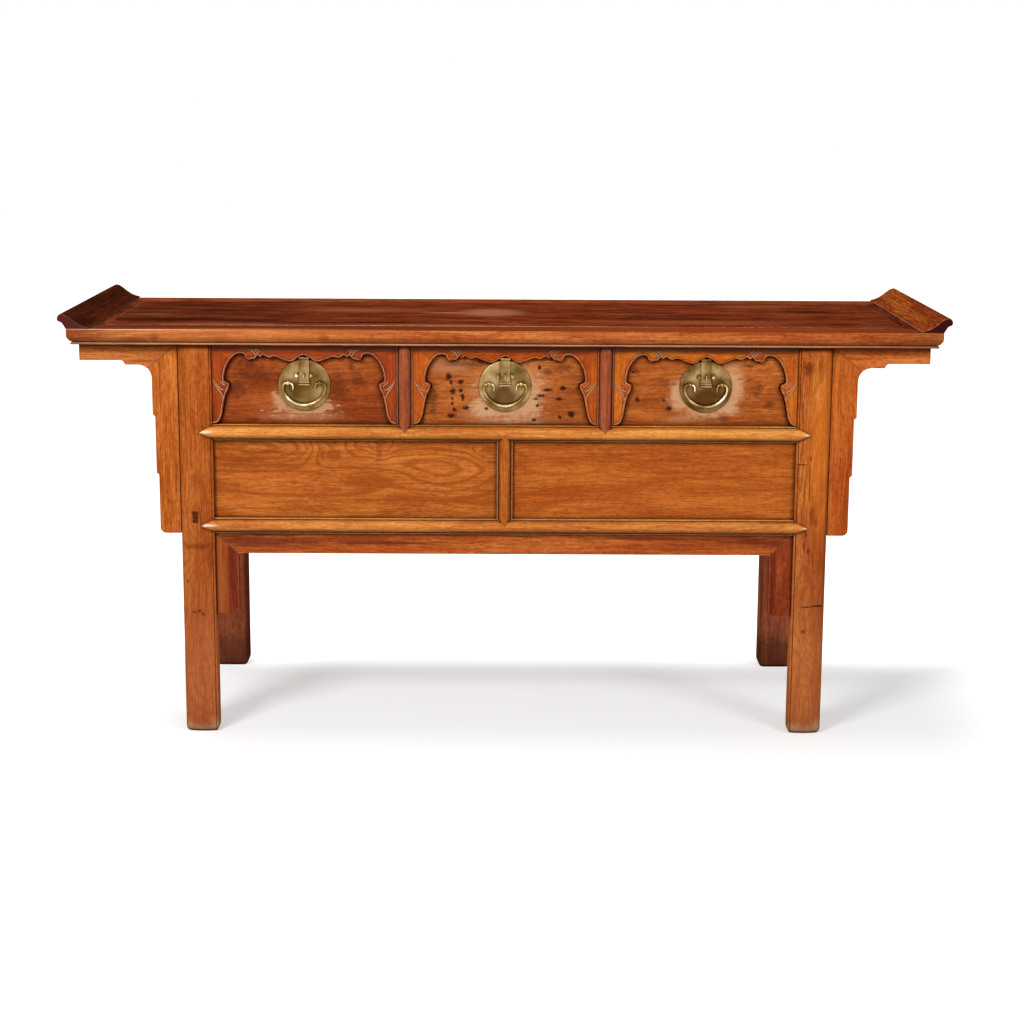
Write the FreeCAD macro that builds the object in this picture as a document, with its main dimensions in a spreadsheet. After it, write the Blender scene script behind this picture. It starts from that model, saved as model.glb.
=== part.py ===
import FreeCAD, Part
import math
import os
from types import SimpleNamespace

import Sketcher

# Three-drawer altar coffer. X runs along the front, the front faces -Y, Z is up, and the origin is on the
# floor under the middle of the top. Sizes are in millimetres.

SIZES = [
    # Top
    ("top_length", 1794, "top frame, end to end"),
    ("top_depth", 545, "top frame, front to back"),
    ("top_height", 866, "floor to the top's surface"),
    ("top_thickness", 33, "top frame, edge height"),
    ("stile_width", 72, "front and back members of the top frame"),
    ("end_width", 66, "end members of the top frame"),
    ("edge_flat", 15, "upright upper part of the moulded edge"),
    ("edge_inset", 9, "how far the moulded edge draws in below"),
    ("edge_bead", 5, "height of the bead under the edge"),
    ("edge_quirk", 2, "height of the groove above the bead"),
    ("bead_rise", 2.2, "how far the bead stands out"),
    ("corner_tenon", 28, "width of the tenon in the frame's mitres"),
    ("corner_tenon_height", 9, "thickness of that tenon"),
    ("corner_tenon_end", 12, "wood left outside that tenon"),
    ("board_thickness", 13, "boards of the top panel"),
    ("board_drop", 0.4, "boards below the frame's surface"),
    ("board_joint", 229, "front edge of the top to the joint of its boards"),
    ("tongue_length", 8, "panel tongues, into their grooves"),
    ("tongue_thickness", 5, "tongues of the top boards"),
    ("batten_width", 40, "battens under the top panel"),
    ("batten_height", 16, "battens, below the boards"),
    ("batten_key", 4, "dovetail key of the battens, into the boards"),
    ("key_neck", 20, "dovetail key, at its foot"),
    ("key_head", 26, "dovetail key, at its widest"),
    ("batten_spacing", 450, "middle batten to the outer ones"),
    ("flange_foot", 45, "end flange, width on the top"),
    ("flange_rise", 31, "end flange, height over the top"),
    ("flange_overhang", 18, "end flange, past the frame's end"),
    ("flange_lip", 15, "end flange, height of its lip"),
    ("flange_step", 9, "notch under the flange's lip"),
    ("flange_crest", 5, "highest line of the flange, past the frame's end"),
    ("flange_sag", 3, "hollow of the flange's inner face"),
    ("flange_key_width", 12, "tongue under the flange"),
    ("flange_key_height", 6, "tongue under the flange, into the end member"),
    # Legs
    ("top_overhang", 221, "end of the top frame to the outer side of the legs"),
    ("leg_width", 70, "leg, along the front"),
    ("leg_depth", 60, "leg, front to back"),
    ("leg_setback", 19, "top's edge to the legs' face"),
    ("leg_round", 11, "rounding of the leg's outer edge"),
    ("leg_crown", 2.5, "swell of the leg's face"),
    ("leg_bead", 5, "bead along the leg's inner edge"),
    ("leg_bead_drop", 5, "root of that bead, behind the face"),
    ("leg_bead_rise", 2.2, "how far that bead stands out"),
    ("leg_tenon_width", 40, "tenon on top of the leg, along the front"),
    ("leg_tenon_depth", 26, "tenon on top of the leg, front to back"),
    ("leg_tenon_height", 18, "tenon on top of the leg"),
    ("leg_tenon_setback", 11, "leg's face to its top tenon"),
    # Rails, dividers and muntins
    ("drawer_bay", 168, "opening of the drawers, under the top"),
    ("drawer_rail_height", 34, "rail under the drawers"),
    ("panel_height", 165, "opening of the lower panels"),
    ("base_rail_height", 33, "base rail"),
    ("upper_rail_height", 30, "rails just under the top, back and sides"),
    ("rail_depth", 40, "rails and dividers, front to back"),
    ("rail_proud", 1.5, "moulding in front of the legs' face"),
    ("rail_lip", 4.5, "flat lips beside the half-round moulding"),
    ("rail_crown", 4, "rise of the half-round moulding over its lips"),
    ("rail_point", 27, "pointed shoulder of a rail, onto the leg"),
    ("divider_point", 15, "pointed shoulder of a divider, onto the rail"),
    ("point_depth", 11, "thickness of the pointed shoulders"),
    ("divider_width", 34, "dividers between the drawers"),
    ("muntin_width", 33, "muntin between the lower panels"),
    ("tenon_length", 30, "tenons of the rails, into the legs"),
    ("tenon_shoulder", 10, "shoulder above and below a rail's tenon"),
    ("tenon_thickness", 14, "tenons of the rails"),
    ("stub_length", 12, "tenons of dividers, muntins and runners"),
    ("stub_width", 16, "width of those tenons"),
    ("stub_thickness", 9, "thickness of those tenons"),
    ("stub_margin", 5, "back of the rails to the tenons of dividers and muntins"),
    ("panel_thickness", 10, "panels in the frame"),
    ("panel_recess", 13, "face of the frame to its panels"),
    ("side_recess", 4, "outer side of the leg to the side rails"),
    ("side_rail_thickness", 30, "side rails"),
    ("joint_clearance", 0.15, "tenons, tongues and keys in their sockets"),
    # Spandrels
    ("spandrel_thickness", 20, "spandrels"),
    ("spandrel_recess", 9, "legs' face to the spandrels"),
    ("spandrel_tongue", 6, "spandrel's tongue, into the leg"),
    ("spandrel_tongue_thickness", 8, "spandrel's tongue"),
    ("arm_length", 202, "spandrel's arm, out from the leg"),
    ("arm_height", 32, "spandrel's arm, at its outer end"),
    ("arm_step_out", 109, "leg to the step under the arm"),
    ("arm_step", 9, "step under the arm"),
    ("bracket_radius", 28, "curve between arm and drop"),
    ("drop_width", 54, "spandrel's drop, upper width"),
    ("drop_step", 5, "steps in the drop's outer edge"),
    ("drop_upper", 150, "top to the upper step of the drop"),
    ("drop_middle", 273, "top to the lower step of the drop"),
    ("drop_length", 401, "top to the drop's foot"),
    ("drop_round", 12, "rounded corner of the drop's foot"),
    # Apron
    ("apron_height", 44, "apron under the base rail"),
    ("apron_thickness", 18, "apron"),
    ("apron_recess", 10, "legs' face to the apron"),
    ("apron_tongue", 6, "apron's tongue, into rail and legs"),
    ("apron_drop_width", 48, "short drops of the apron"),
    ("apron_drop_length", 175, "base rail to the foot of the short drops"),
    ("apron_round", 12, "rounded corner of the short drops"),
    ("apron_fillet", 8, "curve in the apron's inner corners"),
    # Inside
    ("floor_thickness", 10, "boards of the compartment's floor"),
    ("floor_raise", 9, "underside of the base rail to the floor boards"),
    ("floor_groove", 6, "floor boards, into the rails"),
    ("bearer_width", 40, "bearer under the floor boards"),
    ("runner_height", 22, "drawer runners"),
    ("runner_ledge", 15, "runner beside its guide, under each drawer"),
    ("runner_width", 30, "outer runners"),
    ("runner_stub_raise", 2, "underside of a runner to its tenon"),
    ("runner_stub_height", 6, "tenon of a runner"),
    ("guide_height", 20, "guides on the runners"),
    ("guide_width", 10, "guides of the outer runners"),
    # Drawers
    ("drawer_gap", 1, "drawer to its opening, each side"),
    ("drawer_lift", 0.3, "drawer over its runners"),
    ("drawer_headroom", 3, "drawer under the top"),
    ("drawer_back_room", 20, "back rails to the drawer's back"),
    ("front_thickness", 20, "drawer's front board"),
    ("side_thickness", 12, "drawer's sides and back"),
    ("side_lap", 9, "sides, into the front board"),
    ("side_drop", 12, "sides and back below the front's top edge"),
    ("bottom_thickness", 8, "drawer's bottom"),
    ("bottom_raise", 6, "drawer's underside to its bottom board"),
    ("bottom_groove", 5, "bottom board, into sides and front"),
    ("strip_recess", 7, "legs' face to the carved strips"),
    ("strip_thickness", 7, "carved strips"),
    ("carve_peak", 14, "carved edge: depth at the middle"),
    ("carve_shoulder_out", 13, "carved edge: middle to the shoulder"),
    ("carve_shoulder", 20.5, "carved edge: depth at the shoulder"),
    ("carve_dip_out", 28, "carved edge: middle to the dip"),
    ("carve_dip", 29.5, "carved edge: depth at the dip"),
    ("carve_crest", 20.5, "carved edge: depth at the crest, halfway from the dip to the cusp"),
    ("carve_cusp_in", 99.5, "carved edge: drawer's side to the cusp"),
    ("carve_cusp", 22.5, "carved edge: depth at the cusp"),
    ("carve_hook_in", 76, "carved edge: drawer's side to the hook"),
    ("carve_hook", 27, "carved edge: depth at the hook"),
    ("carve_sweep_in", 62, "carved edge: drawer's side to the corner sweep"),
    ("carve_sweep_top", 15, "carved edge: depth where the sweep starts"),
    ("carve_corner_in", 36, "carved edge: drawer's side to the mitre"),
    ("carve_corner", 29, "carved edge: depth at the mitre"),
    ("carve_side", 22.5, "carved edge: width of the side strips"),
    ("carve_sweep_end", 72, "carved edge: depth where the sweep ends"),
    ("carve_leaf_in", 34.5, "carved edge: drawer's side to the leaf's tip"),
    ("carve_leaf", 82, "carved edge: depth of the leaf's tip"),
    ("carve_leaf_foot", 96, "carved edge: depth of the leaf's foot"),
    ("carve_foot_in", 12.5, "carved edge: drawer's side to the foot"),
    ("carve_foot", 9, "carved edge: height of the foot"),
    # Brass
    ("plate_diameter", 108, "round plates"),
    ("plate_thickness", 1.6, "round plates"),
    ("plate_drop", 83, "drawer's top edge to the plate's middle"),
    ("hinge_rise", 57, "plate's middle to the hasp's pin"),
    ("hinge_out", 4.4, "front board to the hasp's pin"),
    ("pin_diameter", 3, "hasp's pin"),
    ("pin_length", 22, "hasp's pin"),
    ("pin_clearance", 0.3, "pins and wires in their eyes"),
    ("barrel_diameter", 7, "hasp's barrel"),
    ("barrel_length", 14, "hasp's barrel"),
    ("hinge_lug", 3, "thickness of the hinge staple's two lugs"),
    ("lug_height", 7, "height of those lugs"),
    ("hasp_length", 61, "pin to the hasp's lower end"),
    ("hasp_width", 21, "hasp's plate"),
    ("hasp_thickness", 2.2, "hasp's plate"),
    ("hasp_neck", 12, "narrow neck of the hasp, below its pin"),
    ("ridge_diameter", 3.6, "two ridges across the hasp's lower end"),
    ("ridge_spacing", 4.4, "between those ridges"),
    ("lock_rise", 21, "plate's middle to the lock posts"),
    ("lock_spacing", 30, "between the two lock posts"),
    ("lock_diameter", 7.4, "lock posts"),
    ("lock_out", 12, "lock posts, in front of the plate"),
    ("lock_eye", 3.4, "eyes for the padlock's bar"),
    ("staple_width", 3, "centre staple"),
    ("staple_height", 9, "centre staple"),
    ("slot_room", 2, "slot in the hasp, round the centre staple"),
    ("stem_diameter", 4, "stems through the plate and the board"),
    ("stem_length", 15, "stems, into the board"),
    ("bail_spacing", 66, "between the bail's eyes"),
    ("bail_rise", 5, "plate's middle to the bail's eyes"),
    ("bail_width", 88, "bail, along its middle line"),
    ("bail_drop", 46, "bail, eyes to its lowest middle line"),
    ("bail_wire", 5.2, "bail's wire"),
    ("bail_corner", 30, "bail, radius of its lower corners"),
    ("bail_shoulder", 8, "bail, radius over the eyes"),
    ("bail_hook", 7, "bail, radius of its hooked ends"),
    ("bail_tip", 8, "bail, straight hooked ends"),
    ("journal_length", 6, "straight part of the bail in an eye"),
    ("eye_width", 4.6, "bail's eyes, along the pin line"),
    ("eye_wall", 2.2, "bail's eyes, round the wire"),
]

HALF_ROOT = math.sqrt(0.5)


def formula_of(thing):
    return thing.formula if isinstance(thing, Size) else repr(float(thing))


def value_of(thing):
    return thing.value if isinstance(thing, Size) else float(thing)


class Size:
    """A length: its value now, and the formula that ties it to the sheet."""

    def __init__(self, formula, value):
        self.formula = formula
        self.value = value

    def __add__(self, other):
        return Size(f"({self.formula} + {formula_of(other)})", self.value + value_of(other))

    def __sub__(self, other):
        return Size(f"({self.formula} - {formula_of(other)})", self.value - value_of(other))

    def __rsub__(self, other):
        return Size(f"({formula_of(other)} - {self.formula})", value_of(other) - self.value)

    def __mul__(self, other):
        return Size(f"({self.formula} * {formula_of(other)})", self.value * value_of(other))

    def __truediv__(self, other):
        return Size(f"({self.formula} / {formula_of(other)})", self.value / value_of(other))

    def __neg__(self):
        return self * -1

    __radd__ = __add__
    __rmul__ = __mul__


doc = FreeCAD.newDocument("altar_coffer")
sheet = doc.addObject("Spreadsheet::Sheet", "sizes")
for row, (name, value, meaning) in enumerate(SIZES, start=1):
    sheet.set(f"A{row}", meaning)
    sheet.set(f"B{row}", str(value))
    sheet.setAlias(f"B{row}", name)
doc.recompute()
s = SimpleNamespace(**{name: Size(f"sizes.{name}", float(sheet.get(name))) for name, value, meaning in SIZES})

nodes = []


def bind(piece, name, size):
    piece.setExpression(name, formula_of(size))


def block(name, x, y, z):
    """A box between pairs of low and high planes."""
    piece = doc.addObject("Part::Box", name)
    for edge, axis, (low, high) in zip(("Length", "Width", "Height"), "xyz", (x, y, z)):
        bind(piece, edge, high - low)
        bind(piece, f"Placement.Base.{axis}", low)
    return piece


def socket(name, x, y, z):
    """The room that a box needs in the piece that takes it."""
    gap = s.joint_clearance
    return block(name, *[(low - gap, high + gap) for low, high in (x, y, z)])


def rod(name, axis, centre, low, high, diameter):
    """A cylinder along X, or along Y, between two planes."""
    piece = doc.addObject("Part::Cylinder", name)
    bind(piece, "Radius", diameter / 2)
    bind(piece, "Height", high - low)
    if axis == "X":
        piece.Placement.Rotation = FreeCAD.Rotation(FreeCAD.Vector(0, 1, 0), 90)
        start = (low, centre[0], centre[1])
    else:
        piece.Placement.Rotation = FreeCAD.Rotation(FreeCAD.Vector(1, 0, 0), -90)
        start = (centre[0], low, centre[1])
    for letter, place in zip("xyz", start):
        bind(piece, f"Placement.Base.{letter}", place)
    return piece


def bend(rise, chord):
    """The radius of an arc that rises so far over its chord."""
    return chord * chord / (8 * rise) + rise / 2


def arc_between(start, end, radius, turn):
    """An arc under a half circle that turns left (1) or right (-1), and which of its ends is first."""
    chord = end - start
    offset = math.sqrt(max(radius * radius - chord.Length * chord.Length / 4, 0))
    aside = FreeCAD.Vector(-chord.y, chord.x, 0) / chord.Length
    centre = (start + end) / 2 + aside * offset * turn
    angles = [math.atan2(point.y - centre.y, point.x - centre.x) for point in (start, end)]
    circle = Part.Circle(centre, FreeCAD.Vector(0, 0, 1), radius)
    if turn > 0:
        return Part.ArcOfCircle(circle, angles[0], angles[1]), (1, 2)
    return Part.ArcOfCircle(circle, angles[1], angles[0]), (2, 1)


def draw(body, name, plane, corners, closed=True):
    """A sketch through corners (a, b), or (a, b, radius, turn) where an arc leads to the next corner."""
    sketch = body.newObject("Sketcher::SketchObject", name)
    support = [item for item in body.Origin.OriginFeatures if item.Role == f"{plane}_Plane"]
    sketch.AttachmentSupport = [(support[0], "")]
    sketch.MapMode = "FlatFace"
    count = len(corners) if closed else len(corners) - 1
    ends = []
    radii = {}
    for index in range(count):
        corner = corners[index]
        start, end = [
            FreeCAD.Vector(value_of(place[0]), value_of(place[1]), 0)
            for place in (corner, corners[(index + 1) % len(corners)])
        ]
        if len(corner) == 4:
            curve, order = arc_between(start, end, value_of(corner[2]), corner[3])
            radii[index] = corner[2]
        else:
            curve, order = Part.LineSegment(start, end), (1, 2)
        sketch.addGeometry(curve, False)
        ends.append(order)
    for index in range(count if closed else count - 1):
        after = (index + 1) % count
        sketch.addConstraint(Sketcher.Constraint("Coincident", index, ends[index][1], after, ends[after][0]))
    spots = [(index, ends[index][0], corners[index]) for index in range(count)]
    if not closed:
        spots.append((count - 1, ends[-1][1], corners[-1]))
    for index, end, corner in spots:
        for kind, place in zip(("DistanceX", "DistanceY"), corner):
            rule = Sketcher.Constraint(kind, -1, 1, index, end, value_of(place))
            bind(sketch, f"Constraints[{sketch.addConstraint(rule)}]", place)
    for index, radius in radii.items():
        rule = Sketcher.Constraint("Radius", index, value_of(radius))
        bind(sketch, f"Constraints[{sketch.addConstraint(rule)}]", radius)
    return sketch


def prism(name, plane, corners, low, high):
    """A body padded from an outline, between two planes square to it."""
    body = doc.addObject("PartDesign::Body", name)
    sketch = draw(body, f"{name}_outline", plane, corners)
    pad = body.newObject("PartDesign::Pad", f"{name}_pad")
    pad.Profile = sketch
    bind(pad, "Length", high - low)
    axis, start = {"XY": ("z", low), "YZ": ("x", low), "XZ": ("y", high)}[plane]
    bind(body, f"Placement.Base.{axis}", start)
    return body


def fuse(name, pieces):
    piece = doc.addObject("Part::MultiFuse", name)
    piece.Shapes = pieces
    return piece


def cut(name, base, tools):
    piece = doc.addObject("Part::Cut", name)
    piece.Base = base
    piece.Tool = tools[0] if len(tools) == 1 else fuse(f"{name}_tools", tools)
    return piece


def common(name, base, tool):
    piece = doc.addObject("Part::Common", name)
    piece.Base = base
    piece.Tool = tool
    return piece


def mirrored(name, source, normal=(1, 0, 0)):
    piece = doc.addObject("Part::Mirroring", name)
    piece.Source = source
    piece.Normal = FreeCAD.Vector(*normal)
    return piece


def node(label, pieces):
    """A named sub-part: one solid, or a group of separate solids."""
    if len(pieces) == 1:
        piece = pieces[0]
    else:
        piece = doc.addObject("Part::Compound", f"{label}_group")
        piece.Links = pieces
    piece.Label = label
    nodes.append(piece)


def pair(low, high, side=1):
    """Low and high planes, or the same pair on the other side of the middle."""
    return (low, high) if side > 0 else (-high, -low)


# Planes that several pieces share
half_top = s.top_length / 2
half_depth = s.top_depth / 2
top_under = s.top_height - s.top_thickness
face = s.leg_setback - half_depth
leg_out = half_top - s.top_overhang
leg_in = leg_out - s.leg_width
leg_back = face + s.leg_depth
rail_high = top_under - s.drawer_bay
rail_low = rail_high - s.drawer_rail_height
base_high = rail_low - s.panel_height
base_low = base_high - s.base_rail_height
upper_low = top_under - s.upper_rail_height
rail_face = face - s.rail_proud
rail_back = face + s.rail_depth
opening = (2 * leg_in - 2 * s.divider_width) / 3
drawer_pitch = opening + s.divider_width
divider_half = s.divider_width / 2
muntin_half = s.muntin_width / 2
side_out = leg_out - s.side_recess
side_in = side_out - s.side_rail_thickness
panel_front = (face + s.panel_recess, face + s.panel_recess + s.panel_thickness)
side_panel_middle = side_out - s.panel_recess
side_panel = (side_panel_middle - s.panel_thickness / 2, side_panel_middle + s.panel_thickness / 2)
stub = (rail_back - s.stub_margin - s.stub_thickness, rail_back - s.stub_margin)
tenon_front = (face + s.panel_recess, face + s.panel_recess + s.tenon_thickness)
side_middle = (side_out + side_in) / 2
tenon_side = (side_middle - s.tenon_thickness / 2, side_middle + s.tenon_thickness / 2)
tongue = s.tongue_length
board_top = s.top_height - s.board_drop
board_under = board_top - s.board_thickness
board_out = half_depth - s.stile_width
board_end = half_top - s.end_width
seat = (board_under, board_under + s.tongue_thickness)
floor_low = base_low + s.floor_raise
floor_levels = (floor_low, floor_low + s.floor_thickness)

sides = (("left", -1), ("right", 1))
drawers = (("left", -1), ("middle", 0), ("right", 1))

# Boxes of tenons and tongues, each used by the piece that has it and by the piece that takes it


def rail_tenon(side, levels, depth):
    return (
        pair(leg_in, leg_in + s.tenon_length, side),
        depth,
        (levels[0] + s.tenon_shoulder, levels[1] - s.tenon_shoulder),
    )


def side_tenon(side, end, levels):
    length = pair(-leg_back, -leg_back + s.tenon_length, end)
    return pair(*tenon_side, side), length, (levels[0] + s.tenon_shoulder, levels[1] - s.tenon_shoulder)


def leg_tenon(side, end):
    middle = leg_out - s.leg_width / 2
    wide = (middle - s.leg_tenon_width / 2, middle + s.leg_tenon_width / 2)
    near = face + s.leg_tenon_setback
    depth = (near, near + s.leg_tenon_depth)
    return (
        pair(*wide, side),
        depth if end < 0 else (-depth[1], -depth[0]),
        (top_under, top_under + s.leg_tenon_height),
    )


def corner_tenon(side, end):
    middle = half_depth - s.stile_width / 2
    wide = (middle - s.corner_tenon / 2, middle + s.corner_tenon / 2)
    low = top_under + s.edge_bead
    return (
        pair(board_end, half_top - s.corner_tenon_end - s.edge_inset, side),
        pair(*wide, end),
        (low, low + s.corner_tenon_height),
    )


def batten_tenon(column, end):
    middle = s.batten_spacing * column
    low = board_under - s.batten_height
    return (
        (middle - s.stub_width / 2, middle + s.stub_width / 2),
        pair(board_out, board_out + s.stub_length, end),
        (low + s.runner_stub_raise, low + s.runner_stub_raise + s.stub_thickness),
    )


def strut_tenon(middle, low, high, end=-1):
    depth = stub if end < 0 else (-stub[1], -stub[0])
    return (middle - s.stub_width / 2, middle + s.stub_width / 2), depth, (low, high)


def front_panel(side):
    return (
        pair(muntin_half - tongue, leg_in + tongue, side),
        panel_front,
        (base_high - tongue, rail_low + tongue),
    )


def back_panel(side, levels):
    return (
        pair(muntin_half - tongue, leg_in + tongue, side),
        (-panel_front[1], -panel_front[0]),
        (levels[0] - tongue, levels[1] + tongue),
    )


def side_panel_box(side, levels):
    reach = -leg_back + tongue
    return pair(*side_panel, side), (-reach, reach), (levels[0] - tongue, levels[1] + tongue)


base_levels = (base_low, base_high)
rail_levels = (rail_low, rail_high)
upper_levels = (upper_low, top_under)
lower_gap = (base_high, rail_low)
upper_gap = (rail_high, upper_low)


def spandrel_tongue(side, end):
    middle = face + s.spandrel_recess + s.spandrel_thickness / 2
    depth = (middle - s.spandrel_tongue_thickness / 2, middle + s.spandrel_tongue_thickness / 2)
    return (
        pair(leg_out - s.spandrel_tongue, leg_out, side),
        depth if end < 0 else (-depth[1], -depth[0]),
        (top_under - s.drop_length + s.drop_round, top_under - s.bracket_radius),
    )


def apron_middle():
    middle = face + s.apron_recess + s.apron_thickness / 2
    return (middle - s.apron_tongue / 2, middle + s.apron_tongue / 2)


def apron_drop_tongue(side):
    foot = base_low - s.apron_drop_length
    levels = (foot + s.apron_round, base_low - s.apron_height)
    return pair(leg_in, leg_in + s.apron_tongue, side), apron_middle(), levels


def apron_rail_tongue():
    reach = leg_in - s.apron_drop_width
    return (-reach, reach), apron_middle(), (base_low, base_low + s.apron_tongue)


# Pointed outlines of the moulded rails, dividers and muntin, seen from the front


def rail_outline(levels, gap=0):
    middle = (levels[0] + levels[1]) / 2
    tip = leg_in + s.rail_point + gap
    low = levels[0] - gap
    high = levels[1] + gap
    return [(-tip, middle), (-leg_in, low), (leg_in, low), (tip, middle), (leg_in, high), (-leg_in, high)]


def strut_outline(middle, half, low, high, points, gap=0):
    """A strut's outline, with a pointed foot, and a pointed head where there are two points."""
    left = middle - half - gap
    right = middle + half + gap
    corners = [(left, low), (middle, low - s.divider_point - gap), (right, low), (right, high)]
    if points == 2:
        corners.append((middle, high + s.divider_point + gap))
    corners.append((left, high))
    return corners


def moulded_rail(name, levels):
    """The half-round rail with lips, its pointed shoulders and its tenons."""
    low, high = levels
    lip = rail_face + s.rail_crown
    radius = bend(s.rail_crown, high - low - 2 * s.rail_lip)
    section = [
        (rail_back, low),
        (rail_back, high),
        (lip, high),
        (lip, high - s.rail_lip, radius, 1),
        (lip, low + s.rail_lip),
        (lip, low),
    ]
    reach = leg_in + s.rail_point
    bar = prism(f"{name}_bar", "YZ", section, -reach, reach)
    pointed = prism(f"{name}_points", "XZ", rail_outline(levels), rail_face, rail_back)
    behind = (face + s.point_depth, rail_back)
    shoulders = [
        block(f"{name}_shoulder_{word}", pair(leg_in, reach, way), behind, levels)
        for word, way in sides
    ]
    shaped = cut(f"{name}_shaped", common(f"{name}_form", bar, pointed), shoulders)
    tenons = [block(f"{name}_tenon_{word}", *rail_tenon(way, levels, tenon_front)) for word, way in sides]
    return fuse(f"{name}_solid", [shaped] + tenons)


def moulded_strut(name, middle, half, low, high, points):
    """An upright with the same moulding: pointed foot (and head), and tenons behind the points."""
    lip = rail_face + s.rail_crown
    radius = bend(s.rail_crown, 2 * half - 2 * s.rail_lip)
    section = [
        (middle - half, rail_back),
        (middle - half, lip),
        (middle - half + s.rail_lip, lip, radius, 1),
        (middle + half - s.rail_lip, lip),
        (middle + half, lip),
        (middle + half, rail_back),
    ]
    head = high + s.divider_point if points == 2 else high
    bar = prism(f"{name}_bar", "XY", section, low - s.divider_point, head)
    outline = strut_outline(middle, half, low, high, points)
    pointed = prism(f"{name}_points", "XZ", outline, rail_face, rail_back)
    width = (middle - half, middle + half)
    behind = (face + s.point_depth, rail_back)
    shoulders = [block(f"{name}_shoulder_foot", width, behind, (low - s.divider_point, low))]
    if points == 2:
        shoulders.append(block(f"{name}_shoulder_head", width, behind, (high, head)))
    shaped = cut(f"{name}_shaped", common(f"{name}_form", bar, pointed), shoulders)
    tenon = block(f"{name}_tenon", *strut_tenon(middle, low - s.stub_length, high + s.stub_length))
    return fuse(f"{name}_solid", [shaped, tenon])


def strut_room(name, middle, half, low, high, points):
    """What a rail gives up to a strut: the notch for its point and the mortise for its tenon."""
    outline = strut_outline(middle, half, low, high, points, s.joint_clearance)
    deep = face + s.point_depth + s.joint_clearance
    return [
        prism(f"{name}_notch", "XZ", outline, rail_face, deep),
        socket(f"{name}_mortise", *strut_tenon(middle, low - s.stub_length, high + s.stub_length)),
    ]


# Top frame: moulded front, back and end members, mitred, with tenons across the mitres


def moulded_edge(out, inner, sign):
    """The member's section from its outer edge inwards, with the bead below."""
    under = top_under
    shaft = under + s.edge_bead + s.edge_quirk
    root = out - s.edge_inset
    bead = bend(s.bead_rise, s.edge_bead)
    swell = bend(s.edge_inset - s.bead_rise, s.top_thickness)
    corners = [
        (sign * inner, under),
        (sign * root, under, bead, sign),
        (sign * root, under + s.edge_bead),
        (sign * root, shaft),
        (sign * (root + s.bead_rise), shaft, swell, sign),
        (sign * out, s.top_height - s.edge_flat),
        (sign * out, s.top_height),
        (sign * inner, s.top_height),
    ]
    return corners


def long_member(name, end, sockets):
    bar = prism(f"{name}_bar", "YZ", moulded_edge(half_depth, board_out, end), -half_top, half_top)
    plan = [
        (-half_top, end * half_depth),
        (half_top, end * half_depth),
        (board_end, end * board_out),
        (-board_end, end * board_out),
    ]
    mitred = common(f"{name}_mitred", bar, prism(f"{name}_plan", "XY", plan, top_under, s.top_height))
    # The mitre cuts the moulded ends back too, so the end members' section is taken off the bar's ends.
    trims = [
        prism(f"{name}_trim_{word}", "XZ", moulded_gap(way), -half_depth, half_depth)
        for word, way in sides
    ]
    shaped = cut(f"{name}_shaped", mitred, trims)
    tenons = [block(f"{name}_tenon_{word}", *corner_tenon(way, end)) for word, way in sides]
    reach = board_end + tongue
    groove = socket(f"{name}_groove", (-reach, reach), pair(board_out, board_out + tongue, end), seat)
    legs = [socket(f"{name}_leg_{word}", *leg_tenon(way, end)) for word, way in sides]
    battens = [socket(f"{name}_batten_{column}", *batten_tenon(column, end)) for column in (-1, 0, 1)]
    solid = fuse(f"{name}_solid", [shaped] + tenons)
    return cut(f"{name}_member", solid, [groove] + legs + battens + sockets)


def moulded_gap(side):
    """The room outside the end members' moulded edge."""
    edge = moulded_edge(half_top, half_top, side)[1:7]
    far = side * (half_top + s.flange_overhang)
    return edge + [(far, s.top_height), (far, top_under)]


def end_member():
    bar = prism("end_bar", "XZ", moulded_edge(half_top, board_end, 1), -half_depth, half_depth)
    plan = [
        (half_top, -half_depth),
        (half_top, half_depth),
        (board_end, board_out),
        (board_end, -board_out),
    ]
    mitred = common("end_mitred", bar, prism("end_plan", "XY", plan, top_under, s.top_height))
    reach = board_out + tongue
    rooms = [socket("end_groove", (board_end, board_end + tongue), (-reach, reach), seat)]
    rooms += [socket(f"end_mortise_{end}", *corner_tenon(1, end)) for end in (-1, 1)]
    rooms += [prism(f"end_trim_{end}", "YZ", long_gap(end), board_end, half_top) for end in (-1, 1)]
    rooms.append(socket("end_flange_key", *flange_key()))
    return cut("end_solid", mitred, rooms)


def long_gap(end):
    """The room outside the front or back member's moulded edge."""
    edge = moulded_edge(half_depth, half_depth, end)[1:7]
    far = end * (half_depth + s.edge_inset)
    return edge + [(far, s.top_height), (far, top_under)]


def flange_key():
    middle = half_top - s.flange_foot / 2
    wide = (middle - s.flange_key_width / 2, middle + s.flange_key_width / 2)
    reach = board_out
    return wide, (-reach, reach), (s.top_height - s.flange_key_height, s.top_height)


def flange():
    """Everted end flange: hollow inner face, round lip, a notch under the lip."""
    top = s.top_height
    crest = (half_top + s.flange_crest, top + s.flange_rise)
    lip = (half_top + s.flange_overhang, top + s.flange_rise - s.flange_lip)
    run = s.flange_foot + s.flange_crest
    inner = bend(s.flange_sag, run)
    outer = bend(s.flange_sag, s.flange_lip + s.flange_step)
    corners = [
        (half_top - s.flange_foot, top, inner, 1),
        (*crest, s.flange_lip, -1),
        lip,
        (lip[0] - s.flange_step, lip[1], outer, 1),
        (half_top, top),
    ]
    form = prism("flange_form", "XZ", corners, -half_depth, half_depth)
    return fuse("flange_solid", [form, block("flange_key", *flange_key())])


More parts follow.
